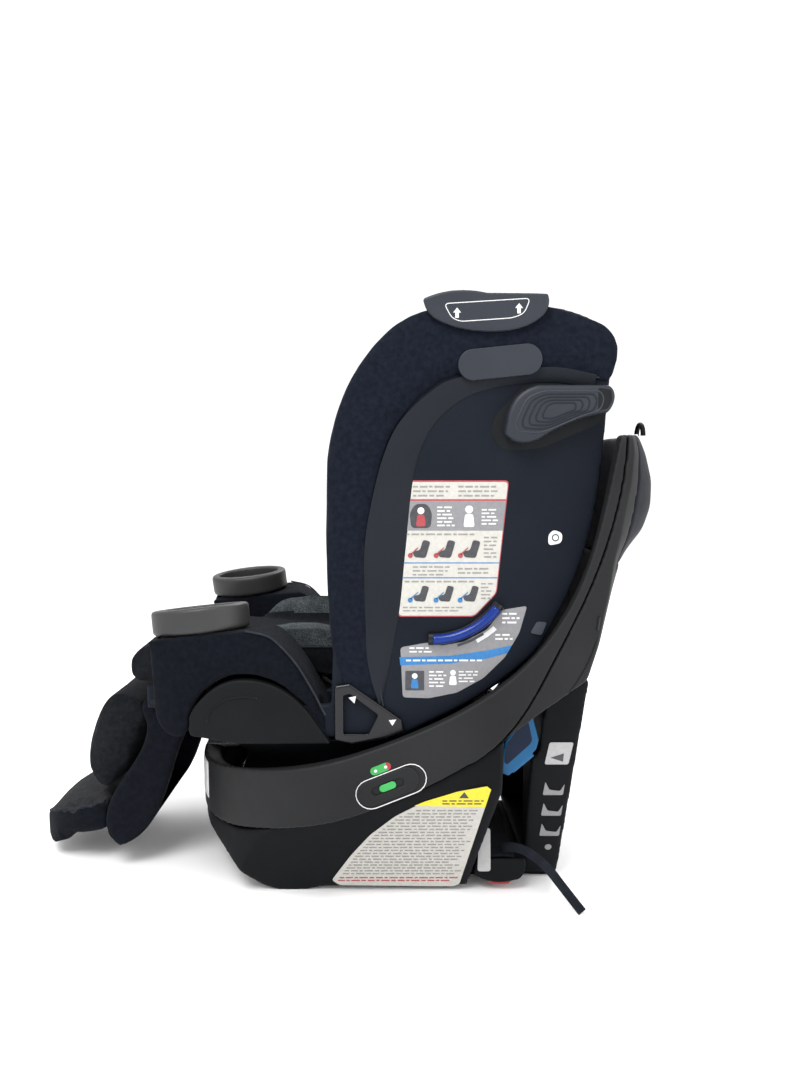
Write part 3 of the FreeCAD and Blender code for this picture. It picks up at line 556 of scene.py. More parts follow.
def prism(name, outline, low, high, material):
    """Closed block: an outline in (x, z) carried from y = low to y = high."""
    build = bmesh.new()
    near, far = ([build.verts.new((x, y, z)) for x, z in outline] for y in (low, high))
    build.faces.new(near)
    build.faces.new(far)
    bridged(build, (near, far), closed=True)
    return into_scene(name, built(build, name), material)


# ---- soft goods
def numbers_of(items, attribute):
    """One vector of each item, such as every vertex's place, as rows of an array."""
    flat = np.empty(len(items) * 3, np.float32)
    items.foreach_get(attribute, flat)
    return flat.reshape(-1, 3)


def points_of(mesh):
    return numbers_of(mesh.vertices, "co").astype(float)


def set_points(mesh, points):
    mesh.vertices.foreach_set("co", points.astype(np.float32).ravel())
    mesh.update()


def normals_of(mesh):
    return numbers_of(mesh.vertex_normals, "vector").astype(float)


def puffed(piece, cap, voxel=0.005, rounds=8, shrink=0.004, pinned=None, pressure=4.0):
    """Stuffed look: remesh, round, then inflate as cloth with a limit on how far a point moves."""
    remeshed(piece, voxel, rounds)
    mesh = piece.data
    start = points_of(mesh)
    held = np.zeros(len(start), bool) if pinned is None else pinned(start)
    small = start - normals_of(mesh) * shrink * (~held)[:, None]
    set_points(mesh, small)
    if held.any():
        group = piece.vertex_groups.new(name="held")
        group.add([int(i) for i in np.flatnonzero(held)], 1.0, "REPLACE")
    cloth = piece.modifiers.new("cloth", "CLOTH")
    cloth.settings.quality = 4
    cloth.settings.mass = 0.3
    cloth.settings.use_pressure = True
    cloth.settings.uniform_pressure_force = pressure
    cloth.settings.effector_weights.gravity = 0
    cloth.settings.bending_stiffness = 2
    if held.any():
        cloth.settings.vertex_group_mass = "held"
    SCENE.frame_start, SCENE.frame_end = 1, CLOTH_FRAMES
    for number in range(1, CLOTH_FRAMES + 1):
        SCENE.frame_set(number)
    applied(piece)
    SCENE.frame_set(1)
    moved = points_of(piece.data) - small
    length = np.linalg.norm(moved, axis=1, keepdims=True)
    limit = np.minimum(1, cap / np.maximum(length, 1e-9))
    set_points(piece.data, small + moved * limit)
    smoothed(piece, 2)
    finer = piece.modifiers.new("finer", "SUBSURF")
    finer.levels = 1
    finer.render_levels = 1
    applied(piece)
    piece.vertex_groups.clear()
    shaded_smooth(piece)
    return piece


def more_materials(piece, materials, sort):
    """Further materials on a piece: sort gives each face its number from its centre and normal."""
    for material in materials:
        piece.data.materials.append(material)
    faces = piece.data.polygons
    numbers = sort(numbers_of(faces, "center"), numbers_of(faces, "normal"))
    faces.foreach_set("material_index", numbers.astype(np.int32))
    piece.data.update()


def hip_roll_faces(centres, _):
    """Faces of the cushion's padded rolls beside the hips."""
    x, y, z = centres.T
    return (np.abs(y) > 0.0985) & (z > 0.318) & (x > -0.224) & (x < -0.028)


def under_flap(centres, normals):
    """Faces of the heel flap that look sideways or down, which take the darker knit as painted shade."""
    return (normals[:, 2] < 0.45) & (centres[:, 0] < -0.405)


def stuffed_node(node, name, material, body, slot, fill, **how):
    """A padded stand-in made from a CAD node's own shape."""
    piece = puffed(bare_copy(node, name, material), **how)
    finish_piece(piece, body)
    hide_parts(node)
    return piece


SELVEDGE = [(-0.5, 0.0), (-0.47, 0.5), (-0.4, 0.36), (0.4, 0.36), (0.47, 0.5), (0.5, 0.0), (0.47, -0.5),
            (0.4, -0.36), (-0.4, -0.36), (-0.47, -0.5)]


def ribbon(name, line, width, thick, middle, material, node):
    """Flat webbing for a CAD node, in the (x, z) plane at y = middle, with rounded selvedges."""
    build = bmesh.new()
    rings = []
    for number, point in enumerate(line):
        along = (line[min(number + 1, len(line) - 1)] - line[max(number - 1, 0)]).normalized()
        normal = Vector((-along.y, along.x))
        ring = []
        for across, out in SELVEDGE:
            place = point + normal * (out * thick)
            ring.append(build.verts.new((place.x, middle + across * width, place.y)))
        rings.append(ring)
    bridged(build, rings, closed=True)
    build.faces.new(rings[0])
    build.faces.new(list(reversed(rings[-1])))
    piece = into_scene(name, built(build, name), material)
    finish_piece(piece, "base" if node == "latch_strap" else "seat")
    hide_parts(node)


# ---- the base
LOCKOFF_WEB = [(0.13, 0.187), (0.1335, 0.183), (0.1625, 0.21), (0.1645, 0.215), (0.159, 0.24),
               (0.156, 0.24), (0.133, 0.21)]


def make_base(look):
    """Hoop, tall back and housings, and the moving pieces that the base carries."""
    hoop, tall, *_ = soften(look, "base", (
        ("base_shell", "hoop", "charcoal", 0.0023, 10, "base_plastic"),
        ("back_shell", "tall_back", "charcoal", 0.003, 10, "base_plastic"),
        ("back_cover", "back_housing", "navy_gloss", 0.004, 24, "back_gloss"),
        ("base_lower", "lower_housing", "black", 0.003, 6, "base_dark"),
        ("rear_panel", "rear_wall", "black", 0.003, 6, "base_dark"),
        ("base_floor", "floor_pan", "black", 0.002, 4, "base_dark"),
        ("swivel_ring", "bearing_race", "black_gloss", 0.0018, 4, "back_gloss"),
        ("lock_bezels", "lock_rims", "charcoal", 0.0008, 4, "trim_grey"),
        ("latch_connector_left", "anchor_left", "black", 0.0012, 4, "base_dark"),
        ("latch_connector_right", "anchor_right", "black", 0.0012, 4, "base_dark")))
    for node, finish in (("base_feet", "rubber"), ("base_screws", "steel"), ("tether_loop", "black")):
        painted(node, look[finish])
    for side in SIDES:
        soften(look, None, (
            (f"lock_flag_{side}", f"flag_{side}", "green", 0.0007, 3, "green_plastic"),
            (f"lockoff_{side}", f"belt_clamp_{side}", "cyan", 0.0012, 4, "blue_plastic"),
            (f"latch_button_{side}", f"anchor_press_{side}", "red", 0.0009, 3, "red_plastic")))
    web = rounded(LOCKOFF_WEB, 0.003)
    both_sides(look, "lockoff_{side}", [("belt_clamp_web", [web], Wall(0.194), 0.0001, 0.0004, "deep_blue")])
    return hoop, tall


def lines_in(left, right, top, bottom, rows, ragged=0.12):
    """Short bars that read as small print from afar, with no letters. An edge is an x or a function of z."""
    bars = []
    pitch = (top - bottom) / rows
    for row in range(rows):
        z = top - pitch * (row + 0.5)
        tall = pitch * 0.2
        a, b = (edge(z) if callable(edge) else edge for edge in (left, right))
        end = b - (b - a) * ragged * ((row * 7 % 5) / 5)
        x = a
        word = 0
        while x < end - 0.003:
            long = (0.006, 0.009, 0.004, 0.011)[(row + word) % 4]
            stop = min(x + long, end)
            bars.append([(x, z - tall), (stop, z - tall), (stop, z + tall), (x, z + tall)])
            x = stop + 0.0022
            word += 1
    return bars


def blocks_of_lines(*blocks):
    """Bars of several blocks: each its left and right edge, top, bottom and number of rows."""
    return [bar for block in blocks for bar in lines_in(*block)]


def side_of(polyline):
    """X of a line as a function of height, from its (x, z) points."""
    ordered = sorted(polyline, key=lambda point: point[1])
    heights = [z for _, z in ordered]
    places = [x for x, _ in ordered]
    return lambda z: float(np.interp(z, heights, places))


FLANK_LABEL = [(-0.088, 0.017), (-0.062, 0.06), (-0.037, 0.094), (-0.006, 0.124), (0.028, 0.146),
               (0.07, 0.163), (0.105, 0.171), (0.11, 0.166), (0.078, 0.01), (0.07, 0.006),
               (-0.078, 0.008)]
HOOP_SEAM = [(0.233, 0.352), (0.222, 0.322), (0.205, 0.292), (0.183, 0.263), (0.163, 0.243)]
LABEL_HEADER = [(0.018, 0.141), (0.03, 0.1475), (0.07, 0.163), (0.105, 0.171), (0.11, 0.166),
                (0.1045, 0.139)]


def landed(targets, points, sign):
    """Where lines coming in from the side at each (x, z) first meet one of the targets."""
    line = []
    for x, z in points:
        rays = [target.ray_cast(Vector((x, sign * 0.4, z)), Vector((0, -sign, 0))) for target in targets]
        places = [place for hit, place, _, _ in rays if hit]
        if places:
            line.append(max(places, key=lambda place: abs(place.y)))
    return line


def make_base_markings(look, hoop, tall):
    """Blank-worded labels on the flank, window outline, arrows and pictograms."""
    left = side_of([(-0.08, 0.017), (-0.056, 0.06), (-0.031, 0.094), (0.0, 0.124), (0.03, 0.138)])
    right = side_of([(0.074, 0.01), (0.1, 0.138)])
    warning = [[(0.072, 0.153), (0.084, 0.153), (0.078, 0.1625)]] + lines_in(0.052, 0.102, 0.151, 0.142, 2)
    pill = stadium((-0.0225, 0.1935), 0.026, 0.01, 22)
    figures = [stadium(place, 0.004, 0.0035, 22, 5) for place in ((-0.0285, 0.191), (-0.0165, 0.196))]
    tag = rounded([(0.183, 0.178), (0.187, 0.21), (0.217, 0.21), (0.213, 0.178)], 0.003)
    pictures = [rounded([(0.184, z), (0.21, z), (0.211, z + 0.017), (0.206, z + 0.006), (0.192, z + 0.008),
                         (0.186, z + 0.02)], 0.002, 2) for z in (0.132, 0.1, 0.068)]
    pictures.append(stadium((0.197, 0.05), 0.009, 0.009, 0))
    hanging = rounded([(0.101, 0.03), (0.118, 0.03), (0.117, 0.088), (0.103, 0.088)], 0.004)
    both_sides(look, "base", (
        ("flank_label", [rounded(FLANK_LABEL, 0.004, 3)], FLANK_WALL, 0.0002, 0.0003, "paper"),
        ("flank_header", [LABEL_HEADER], FLANK_WALL, 0.0005, 0.0002, "yellow"),
        ("flank_lines", lines_in(left, right, 0.136, 0.026, 22), FLANK_WALL, 0.0005, 0.0002, "ink_pale"),
        ("flank_red_lines", lines_in(left, right, 0.024, 0.014, 2), FLANK_WALL, 0.0005, 0.0002, "ink_red"),
        ("flank_sign", warning, FLANK_WALL, 0.0007, 0.0002, "ink"),
        ("pill_open", [pill], HOOP_WALL, 0.0001, 0.0004, "green"),
        ("pill_shut", [pill[:len(pill) // 2]], HOOP_WALL, 0.0006, 0.0002, "red"),
        ("pill_marks", figures, HOOP_WALL, 0.0009, 0.0002, "white"),
        ("belt_tag", [tag], PANEL_WALL, 0.0002, 0.0004, "tag_grey"),
        ("belt_arrow", [[(0.19, 0.188), (0.206, 0.182), (0.206, 0.194)]], PANEL_WALL, 0.0006, 0.0003, "ink"),
        ("belt_pictures", pictures, PANEL_WALL, 0.0002, 0.0004, "pale_grey"),
        ("strap_tag", [hanging], Wall(0.1645), 0.0, 0.0016, "tag_grey")))
    window = stadium((-0.01, 0.1715), 0.088, 0.036, 22)
    piped(look, "base", "window_outline", window, HOOP_WALL, 0.0002, 0.0006, "white", True)
    for side, sign in SIDES.items():
        seam = landed((hoop, tall), smooth_line(HOOP_SEAM, 6), sign)
        piping(f"hoop_seam_{side}", seam, 0.0007, look["black"], "base")
        # A black cord along the slot in the hoop: painted shade of the open slot.
        slit_shade = landed((hoop, tall), [(0.2325, 0.361), (0.2335, 0.369), (0.2345, 0.377)], sign)
        piping(f"hoop_slit_{side}", slit_shade, 0.0018, look["black_gloss"], "base")


def make_front_label(look, hoop):
    """White strip that lies on the curved front of the hoop."""
    build = bmesh.new()
    rows = []
    for z in (0.102, 0.115, 0.128, 0.141, 0.152):
        row = []
        for step in range(17):
            angle = math.radians(154 + 52 * step / 16)
            outward = Vector((math.cos(angle), math.sin(angle), 0))
            _, place, _, _ = hoop.ray_cast(Vector((-0.048, 0, z)) + outward * 0.5, -outward)
            row.append(build.verts.new(place + outward * 0.0006))
        rows.append(row)
    bridged(build, rows)
    label = into_scene("front_label", built(build, "front_label", turned=False), look["white"])
    thicker = label.modifiers.new("thicker", "SOLIDIFY")
    thicker.thickness = 0.0006
    thicker.offset = 0
    finish_piece(applied(label), "base")


STRAP_TAIL = [(0.133, -0.15, 0.0512), (0.137, -0.161, 0.062), (0.16, -0.178, 0.066),
              (0.186, -0.192, 0.05), (0.205, -0.203, 0.027), (0.226, -0.218, 0.004)]


def make_webbing(look):
    """Anchor webbing between the connectors, and its loose end as a flat cord."""
    line = smooth_line([(0.112, 0.0487), (0.133, 0.0497), (0.149, 0.0487)], 6)
    ribbon("anchor_webbing", line, 0.33, 0.0018, 0, look["webbing"], "latch_strap")
    curve, spline = traced("strap_end", "NURBS", STRAP_TAIL)
    curve.resolution_u = 10
    spline.order_u = 3
    spline.use_endpoint_u = True
    curve.extrude = 0.0052
    curve.bevel_depth = 0.0008
    curve.bevel_resolution = 2
    tail = linked("strap_end", curve)
    curve.materials.append(look["webbing"])
    finish_piece(tail, "base")
    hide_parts("strap_tail")
    return tail


# ---- the seat
WING_LINE = [(-0.072, 0.262), (-0.09, 0.331), (-0.095, 0.392), (-0.095, 0.47), (-0.09, 0.56),
             (-0.078, 0.613), (-0.058, 0.659), (-0.029, 0.699), (0.001, 0.725), (0.04, 0.741),
             (0.1, 0.747), (0.169, 0.748), (0.222, 0.734), (0.247, 0.722), (0.26, 0.7), (0.258, 0.668),
             (0.249, 0.652)]
SEAM_LINE = [(0.249, 0.652), (0.186, 0.664), (0.14, 0.662), (0.07, 0.651), (0.036, 0.631), (0.006, 0.597),
             (-0.011, 0.558), (-0.025, 0.5), (-0.033, 0.44), (-0.033, 0.345), (-0.02, 0.262)]
BAND_LINE = [(0.244, 0.64), (0.186, 0.65), (0.14, 0.648), (0.1, 0.641), (0.07, 0.628), (0.043, 0.604),
             (0.026, 0.573), (0.016, 0.536), (0.011, 0.489), (0.006, 0.441), (0.000, 0.38),
             (-0.01, 0.3)]


# Share of the way from the band's outer to its inner line, and height above the shell.
BAND_BEVEL = ((-0.25, 0.0052), (0.0, 0.005), (0.5, 0.0034), (0.92, 0.0014), (1.0, 0.0004), (1.01, -0.001))


def make_wings(look):
    """Fabric-covered wings, the bevelled band inside each and the seam between them."""
    outline = smooth_line(WING_LINE, 5) + smooth_line(SEAM_LINE, 5)[1:]
    for side, sign in SIDES.items():
        low, high = sorted((sign * 0.1705, sign * 0.2115))
        wing = prism(f"wing_{side}", outline, low, high, look["knit"])
        puffed(wing, cap=0.006, shrink=0.0035, pressure=3.0)
        finish_piece(wing, "seat")
        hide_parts(f"wing_pad_{side}")
        seam = on_wall(smooth_line([(0.234, 0.6555)] + SEAM_LINE[1:], 6), SHELL_WALL, sign, 0.0028)
        piping(f"wing_seam_{side}", seam, 0.0011, look["piping"], "seat")
        outer = smooth_line([(0.23, 0.656)] + SEAM_LINE[1:-1] + [(-0.03, 0.3), (-0.0235, 0.262)], 7)
        inner = smooth_line([(0.228, 0.6425)] + BAND_LINE[1:-1] + [(-0.012, 0.31), (-0.0225, 0.262)], 7)
        inner = resampled(inner, len(outer))
        build = bmesh.new()
        bridged(build, [[build.verts.new(SHELL_WALL.place(a + (b - a) * share, sign, lift))
                         for a, b in zip(outer, inner)] for share, lift in BAND_BEVEL])
        name = f"wing_band_{side}"
        finish_piece(into_scene(name, built(build, name), look["band"]), "seat")


def resampled(line, count):
    """The same line with count evenly spaced points."""
    points = np.array([tuple(point) for point in line])
    runs = np.concatenate([[0], np.cumsum(np.linalg.norm(np.diff(points, axis=0), axis=1))])
    places = np.linspace(0, runs[-1], count)
    return [Vector([float(np.interp(place, runs, points[:, axis])) for axis in range(points.shape[1])])
            for place in places]


def near_cup(sign):
    """Which points belong to the cup well, so that it keeps its size."""
    middle = np.array([-0.247, sign * 0.17])

    def pinned(points):
        away = (points[:, :2] - middle) / np.array([0.062, 0.04])
        return (np.linalg.norm(away, axis=1) < 1) & (points[:, 2] > 0.28)
    return pinned


def make_seat_sides(look):
    """Arms, half-moon covers, cup holders and what is fixed to the shell's sides."""
    groove = smooth_line([(-0.234, 0.243), (-0.228, 0.258), (-0.212, 0.27), (-0.19, 0.2745),
                          (-0.172, 0.273)], 6)
    edge = smooth_line([(-0.186, 0.3555), (-0.158, 0.3485), (-0.139, 0.332), (-0.122, 0.311), (-0.104, 0.28),
                        (-0.09, 0.252)], 5)
    for side, sign in SIDES.items():
        # The arm pads take the darker copy of the navy knit: painted shade.
        stuffed_node(f"bolster_{side}", f"arm_pad_{side}", look["sleeve"], "seat", "knit_fabric", 0.85,
                     voxel=0.004, rounds=6, cap=0.004, shrink=0.002, pinned=near_cup(sign))
        soften(look, "seat", (
            (f"side_cover_{side}", f"moon_cover_{side}", "moon", 0.0014, 8, "shell_plastic"),
            (f"belt_guide_{side}", f"belt_loop_{side}", "black_gloss", 0.001, 4, "shell_plastic"),
            (f"impact_pod_{side}", f"side_pod_{side}", "satin", 0.0012, 5, "shell_plastic"),
            (f"badge_{side}", f"blank_badge_{side}", "satin", 0.0008, 3, "trim_grey"),
            (f"level_tube_{side}", f"level_{side}", "blue", 0.0011, 12, "level_blue")))
        soften(look, None, (
            (f"cup_holder_{side}", f"cup_{side}", "collar", 0.0016, 16, "trim_grey"),
            (f"rotate_handle_{side}", f"grip_{side}", "satin", 0.0013, 5, "trim_grey")))
    piped(look, "seat", "moon_groove", groove, GUIDE_WALL, 0.0002, 0.0014, "black")
    piped(look, "seat", "arm_piping", edge, Wall(0.2118), 0.0, 0.0013, "piping")
    tube_holder(look)
    pod_ridges(look)


def round_tube(radius, angle):
    """The point at that radius and angle, in degrees from straight down, about the level tube's centre."""
    angle = math.radians(angle)
    return 0.04 + radius * math.sin(angle), 0.442 - radius * math.cos(angle)


def tube_holder(look):
    """Dark channel round each level tube, with a scale under it."""
    arc = [round_tube(0.097, -3 + 59 * step / 14) for step in range(15)]
    piped(look, "seat", "tube_channel", arc, SHELL_WALL, 0.0006, 0.0082, "black_gloss")
    mark, scale = ([round_tube(inner, angle) for angle in (a, (a + b) / 2, b)]
                   + [round_tube(outer, angle) for angle in (b, (a + b) / 2, a)]
                   for a, b, inner, outer in ((16, 34, 0.1085, 0.1115), (28, 42, 0.11, 0.116)))
    both_sides(look, "seat", (("tube_scale", [scale], SHELL_WALL, 0.0006, 0.0003, "white"),
                              ("tube_mark", [mark], SHELL_WALL, 0.0008, 0.0003, "ink")))


POD_LINE = [(0.128, 0.601), (0.13, 0.59), (0.162, 0.588), (0.216, 0.611), (0.237, 0.617), (0.241, 0.632),
            (0.236, 0.641), (0.162, 0.641), (0.142, 0.632)]


def shrunk(outline, share):
    centre = sum((Vector(point) for point in outline), Vector((0, 0))) / len(outline)
    return [centre + (Vector(point) - centre) * share for point in outline]


# Outline of a black plate round each pod: painted shade of the recess it stands in.
POD_RECESS_SHADE = [(0.11, 0.61), (0.109, 0.586), (0.122, 0.571), (0.166, 0.573), (0.222, 0.597),
              (0.243, 0.606), (0.247, 0.645), (0.15, 0.65)]
POD_END = [(0.2285, 0.616), (0.24, 0.619), (0.2445, 0.628), (0.2435, 0.64), (0.2285, 0.6425)]


def pod_ridges(look):
    """Contour ridges on the impact pods, a black plate round them as painted shade of the recess they stand
    in, and a clip below.
    """
    clip = rounded([(0.158, 0.352), (0.166, 0.366), (0.178, 0.365), (0.172, 0.349)], 0.003)
    # The first row is a black plate: painted shade of the pod's recess.
    both_sides(look, "seat", (
        ("pod_recess_shade", [rounded(POD_RECESS_SHADE, 0.012)], SHELL_WALL, -0.0004, 0.0008, "black"),
        ("pod_end", [rounded(POD_END, 0.003)], POD_WALL, -0.0002, 0.0004, "black"),
        ("glossy_clip", [clip], SHELL_WALL, 0.0, 0.0016, "satin")))
    for number, share in enumerate((0.9, 0.76, 0.62, 0.48, 0.34)):
        loop, finish = rounded(shrunk(POD_LINE, share), 0.01, 5), "band" if number else "satin"
        piped(look, "seat", f"pod_ridge_{number}", loop, POD_WALL, -0.0004, 0.0011, finish, True)


LABEL_OUTLINE = [(0.003, 0.534), (0.129, 0.534), (0.116, 0.401), (0.09, 0.373), (-0.001, 0.373)]
GREY_OUTLINE = [(0.001, 0.334), (0.034, 0.34), (0.05, 0.336), (0.078, 0.341), (0.106, 0.356),
                (0.124, 0.38), (0.154, 0.385), (0.145, 0.352), (0.128, 0.322), (0.102, 0.296),
                (0.07, 0.278), (0.036, 0.271), (0.004, 0.272)]


def label_row(low, high):
    """The part of the use label between two heights, as a four-sided strip."""
    left = side_of([LABEL_OUTLINE[0], LABEL_OUTLINE[-1]])
    right = side_of(LABEL_OUTLINE[1:4])
    return [(left(low), low), (right(low), low), (right(high), high), (left(high), high)]


def head_and_body(x, z, tall):
    """Generic pictogram of a seated child: a head and a body."""
    head = stadium((x, z + tall * 0.36), tall * 0.36, tall * 0.36, 0, 8)
    body = rounded([(x - tall * 0.26, z - tall * 0.45), (x + tall * 0.26, z - tall * 0.45),
                    (x + tall * 0.18, z + tall * 0.16), (x - tall * 0.18, z + tall * 0.16)], tall * 0.12, 3)
    return head, body


def seat_shape(x, z, tall):
    """Generic pictogram of a car seat, leaning back."""
    return rounded([(x - tall * 0.3, z - tall * 0.45), (x + tall * 0.35, z - tall * 0.5),
                    (x + tall * 0.62, z + tall * 0.45), (x + tall * 0.2, z + tall * 0.55),
                    (x + tall * 0.02, z - tall * 0.05), (x - tall * 0.42, z - tall * 0.12)], tall * 0.14, 3)


FILM = 0.0002  # thickness of one printed layer


def make_shell_labels(look):
    """Two use labels with rows of bars and pictograms in place of wording."""
    for side, sign in SIDES.items():
        def stick(name, outlines, level, colour):
            lift = FILM * (1 + level)
            plates(f"{name}_{side}", outlines, SHELL_WALL, sign, lift, FILM, look[colour], "seat")

        stick("use_label_edge", [rounded(shrunk(LABEL_OUTLINE, 1.02), 0.005, 4)], -0.5, "ink_red")
        stick("use_label", [rounded(LABEL_OUTLINE, 0.005, 4)], 0, "paper")
        stick("use_red_rule", [label_row(0.5115, 0.5135)], 1, "ink_red")
        stick("use_grey_band", [label_row(0.476, 0.5115)], 1, "pale_grey")
        rules = [label_row(z, z + 0.0012) for z in (0.4185, 0.4365)]
        stick("use_blue_rules", rules, 1, "ink_blue")
        stick("use_head_lines", blocks_of_lines(
            (0.016, 0.06, 0.531, 0.515, 3), (0.07, 0.119, 0.531, 0.515, 3),
            (0.016, 0.06, 0.4345, 0.4205, 3), (0.07, 0.11, 0.4325, 0.4225, 2)), 1, "ink_pale")
        stick("use_white_lines", blocks_of_lines(
            (0.045, 0.066, 0.506, 0.48, 6), (0.098, 0.119, 0.503, 0.482, 5)), 2, "white")
        stick("use_side_lines", blocks_of_lines(
            (0.101, 0.117, 0.47, 0.442, 6), (0.098, 0.112, 0.414, 0.392, 5), (0.006, 0.094, 0.474, 0.469, 1),
            (0.006, 0.094, 0.417, 0.412, 1), (0.004, 0.076, 0.385, 0.377, 2)), 1, "ink_pale")
        chair = rounded([(0.014, 0.479), (0.037, 0.479), (0.039, 0.497), (0.033, 0.508), (0.019, 0.508),
                         (0.012, 0.497)], 0.005, 3)
        head, body = head_and_body(0.0255, 0.4915, 0.023)
        stick("use_chair", [chair], 2, "ink")
        stick("use_child_body", [body], 3, "ink_red")
        stick("use_child_head", [head], 4, "white")
        head, body = head_and_body(0.083, 0.492, 0.026)
        stick("use_profile", [head, body], 3, "white")
        seats = []
        for x in (0.024, 0.054, 0.084):
            seats += [seat_shape(x, 0.4535, 0.021), seat_shape(x, 0.3995, 0.019)]
        stick("use_seats", seats, 2, "ink")
        for z, colour in ((0.446, "ink_red"), (0.392, "ink_blue")):
            starts = (0.013, 0.044, 0.073)
            dots = [stadium((x, z), 0.006, 0.006, 0, 6) for x in starts]
            belts = [[(x, z + 0.002), (x + 0.009, z + 0.01), (x + 0.0095, z + 0.009), (x + 0.001, z + 0.001)]
                     for x in starts]
            stick(f"use_accents_{colour}", dots + belts, 3, colour)
        stick("level_label", [rounded(GREY_OUTLINE, 0.004, 3)], 0, "pale_grey")
        band = [(0.001, 0.312), (0.000, 0.322), (0.06, 0.3235), (0.105, 0.33), (0.136, 0.3365),
                (0.131, 0.327), (0.105, 0.32), (0.06, 0.314)]
        stick("level_band", [band], 1, "ink_blue")
        stick("level_words", blocks_of_lines(
            (0.012, 0.04, 0.3355, 0.3265, 2, 0.1), (0.008, 0.1, 0.3205, 0.3155, 1, 0.0),
            (0.036, 0.058, 0.306, 0.284, 5), (0.072, 0.096, 0.306, 0.29, 4), (0.124, 0.146, 0.378, 0.362, 3),
            (0.116, 0.138, 0.352, 0.342, 2)), 2, "white")
        square = rounded([(0.007, 0.281), (0.03, 0.281), (0.03, 0.305), (0.007, 0.305)], 0.001, 2)
        head, body = head_and_body(0.0185, 0.292, 0.019)
        stick("level_square", [square], 2, "ink")
        stick("level_child_body", [body], 3, "ink_blue")
        stick("level_child_head", [head], 4, "white")
        head, body = head_and_body(0.065, 0.296, 0.019)
        stick("level_profile", [head, body], 2, "white")
        pick = [(0.178, 0.458), (0.194, 0.461), (0.195, 0.473), (0.184, 0.477), (0.178, 0.471)]
        stick("level_pick", [rounded(pick, 0.005, 4)], 1, "white")
        for name, wide, level, colour in (("ring", 0.009, 2, "ink"), ("dot", 0.006, 3, "white")):
            stick(f"level_pick_{name}", [stadium((0.1865, 0.4675), wide, wide, 0, 8)], level, colour)
        arrows = [[(-0.0615, 0.274), (-0.0525, 0.276), (-0.0545, 0.267)],
                  [(-0.013, 0.246), (-0.004, 0.247), (-0.0085, 0.239)]]
        plates(f"guide_arrows_{side}", arrows, GUIDE_WALL, sign, 0.0001, 0.0003, look["white"], "seat")


def make_handle_marks(look):
    """Outline and two lift arrows on each turning handle."""
    edge = rounded([(0.051, 0.738), (0.15, 0.744), (0.143, 0.727), (0.13, 0.722), (0.07, 0.718),
                    (0.06, 0.722)], 0.006, 4)
    arrows = [[(x - 0.002, z), (x + 0.002, z), (x + 0.002, z + 0.006), (x + 0.0045, z + 0.006),
               (x, z + 0.0115), (x - 0.0045, z + 0.006), (x - 0.002, z + 0.006)]
              for x, z in ((0.066, 0.722), (0.137, 0.727))]
    piped(look, "rotate_handle_{side}", "handle_outline", edge, HANDLE_WALL, 0.0, 0.00055, "white", True)
    both_sides(look, "rotate_handle_{side}",
               [("handle_arrows", arrows, HANDLE_WALL, 0.0001, 0.0003, "white")])


HARNESS = [(0.13, 0.456), (0.092, 0.38), (0.06, 0.324), (0.026, 0.306), (-0.036, 0.312)]


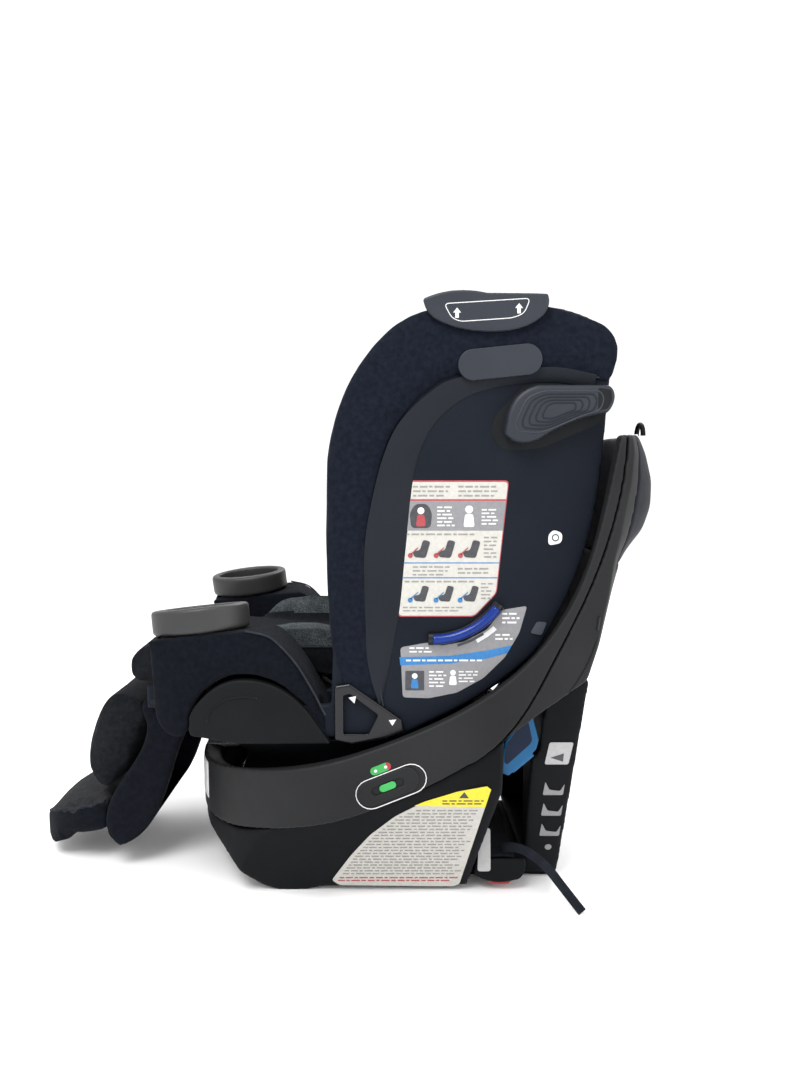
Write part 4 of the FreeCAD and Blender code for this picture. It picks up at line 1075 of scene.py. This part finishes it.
def make_seat_middle(look):
    """Shell, cushions and harness."""
    soften(look, "seat", [("seat_shell", "bucket", "shell", 0.003, 4, "shell_plastic"),
                          ("buckle", "buckle_case", "black_gloss", 0.0011, 4, "shell_plastic")])
    for node, finish in (("swivel_hub", "steel"), ("recline_rails", "steel"), ("legrest_pin", "black")):
        painted(node, look[finish])
    pad = stuffed_node("seat_cushion", "seat_pad", look["knit_soft"], "seat", "knit_fabric", 0.7, cap=0.008)
    more_materials(pad, [look["heather"]], hip_roll_faces)
    for side, sign in SIDES.items():
        seam = landed((pad,), [(-0.212 + 0.172 * step / 18, 0.317) for step in range(19)], sign)
        piping(f"roll_piping_{side}", seam, 0.0014, look["piping"], "seat")
    stuffed_node("back_cushion", "back_pad", look["heather"], "seat", "heather_fabric", 0.7, cap=0.004)
    line = smooth_line(HARNESS, 8)
    for side, sign in SIDES.items():
        node = f"shoulder_strap_{side}"
        ribbon(f"harness_{side}", line, 0.038, 0.0024, sign * 0.042, look["webbing"], node)
    line = smooth_line([(-0.0905, 0.3055), (-0.0885, 0.318), (-0.0855, 0.331)], 5)
    ribbon("crotch_webbing", line, 0.034, 0.0026, 0, look["webbing"], "crotch_strap")
    soften(look, None, (
        ("turntable", "turning_base", "black", 0.0028, 5, "base_dark"),
        ("buckle_button", "buckle_press_cap", "red", 0.0008, 3, "red_plastic"),
        ("adjuster_button", "adjuster_cap", "satin", 0.0009, 3, "trim_grey"),
        ("chest_clip", "chest_clasp", "black_gloss", 0.0011, 4, "shell_plastic"),
        ("recline_handle", "recline_lever", "black", 0.0012, 4, "base_dark")))


def make_headrest(look):
    """Shell, cushion and squeeze release of the headrest."""
    soften(look, "headrest", [("headrest_shell", "head_shell", "shell", 0.0025, 6, "shell_plastic")])
    stuffed_node("headrest_pad", "head_cushion", look["heather"], "headrest", "heather_fabric", 0.8,
                 cap=0.007)
    soften(look, None, [("headrest_release", "head_squeeze", "satin", 0.001, 4, "shell_plastic")])


def make_legrest(look):
    """Sleeve, calf cushion and heel flap with its piped rim."""
    # The leg sleeve takes the darker copy of the navy knit: painted shade.
    soften(look, "legrest", [("legrest_frame", "leg_sleeve", "sleeve", 0.003, 16, "shell_plastic")])
    stuffed_node("calf_pad", "calf_cushion", look["knit_soft"], "legrest", "knit_fabric", 0.9,
                 rounds=5, cap=0.012, shrink=0.003, pressure=8.0)
    flap = stuffed_node("legrest_tongue", "heel_flap", look["flap"], "legrest", "knit_fabric", 0.5,
                        voxel=0.004, rounds=6, cap=0.005, shrink=0.003)
    # The flap's sides and underside get the darker knit: painted shade.
    more_materials(flap, [look["sleeve"]], under_flap)
    rim = []
    for step in range(31):
        turn = math.pi * step / 30
        above = Vector((-0.424 - 0.0895 * math.sin(turn), 0.0895 * math.cos(turn), 0.3))
        hit, place, _, _ = flap.ray_cast(above, Vector((0, 0, -1)))
        if hit:
            rim.append(place)
    piping("flap_rim", rim, 0.0019, look["piping"], "legrest")


make_stage()
look = make_materials()
tail = make_webbing(look)
hoop, tall = make_base(look)
make_base_markings(look, hoop, tall)
make_front_label(look, hoop)
make_seat_middle(look)
make_wings(look)
make_seat_sides(look)
make_shell_labels(look)
make_handle_marks(look)
make_headrest(look)
make_legrest(look)
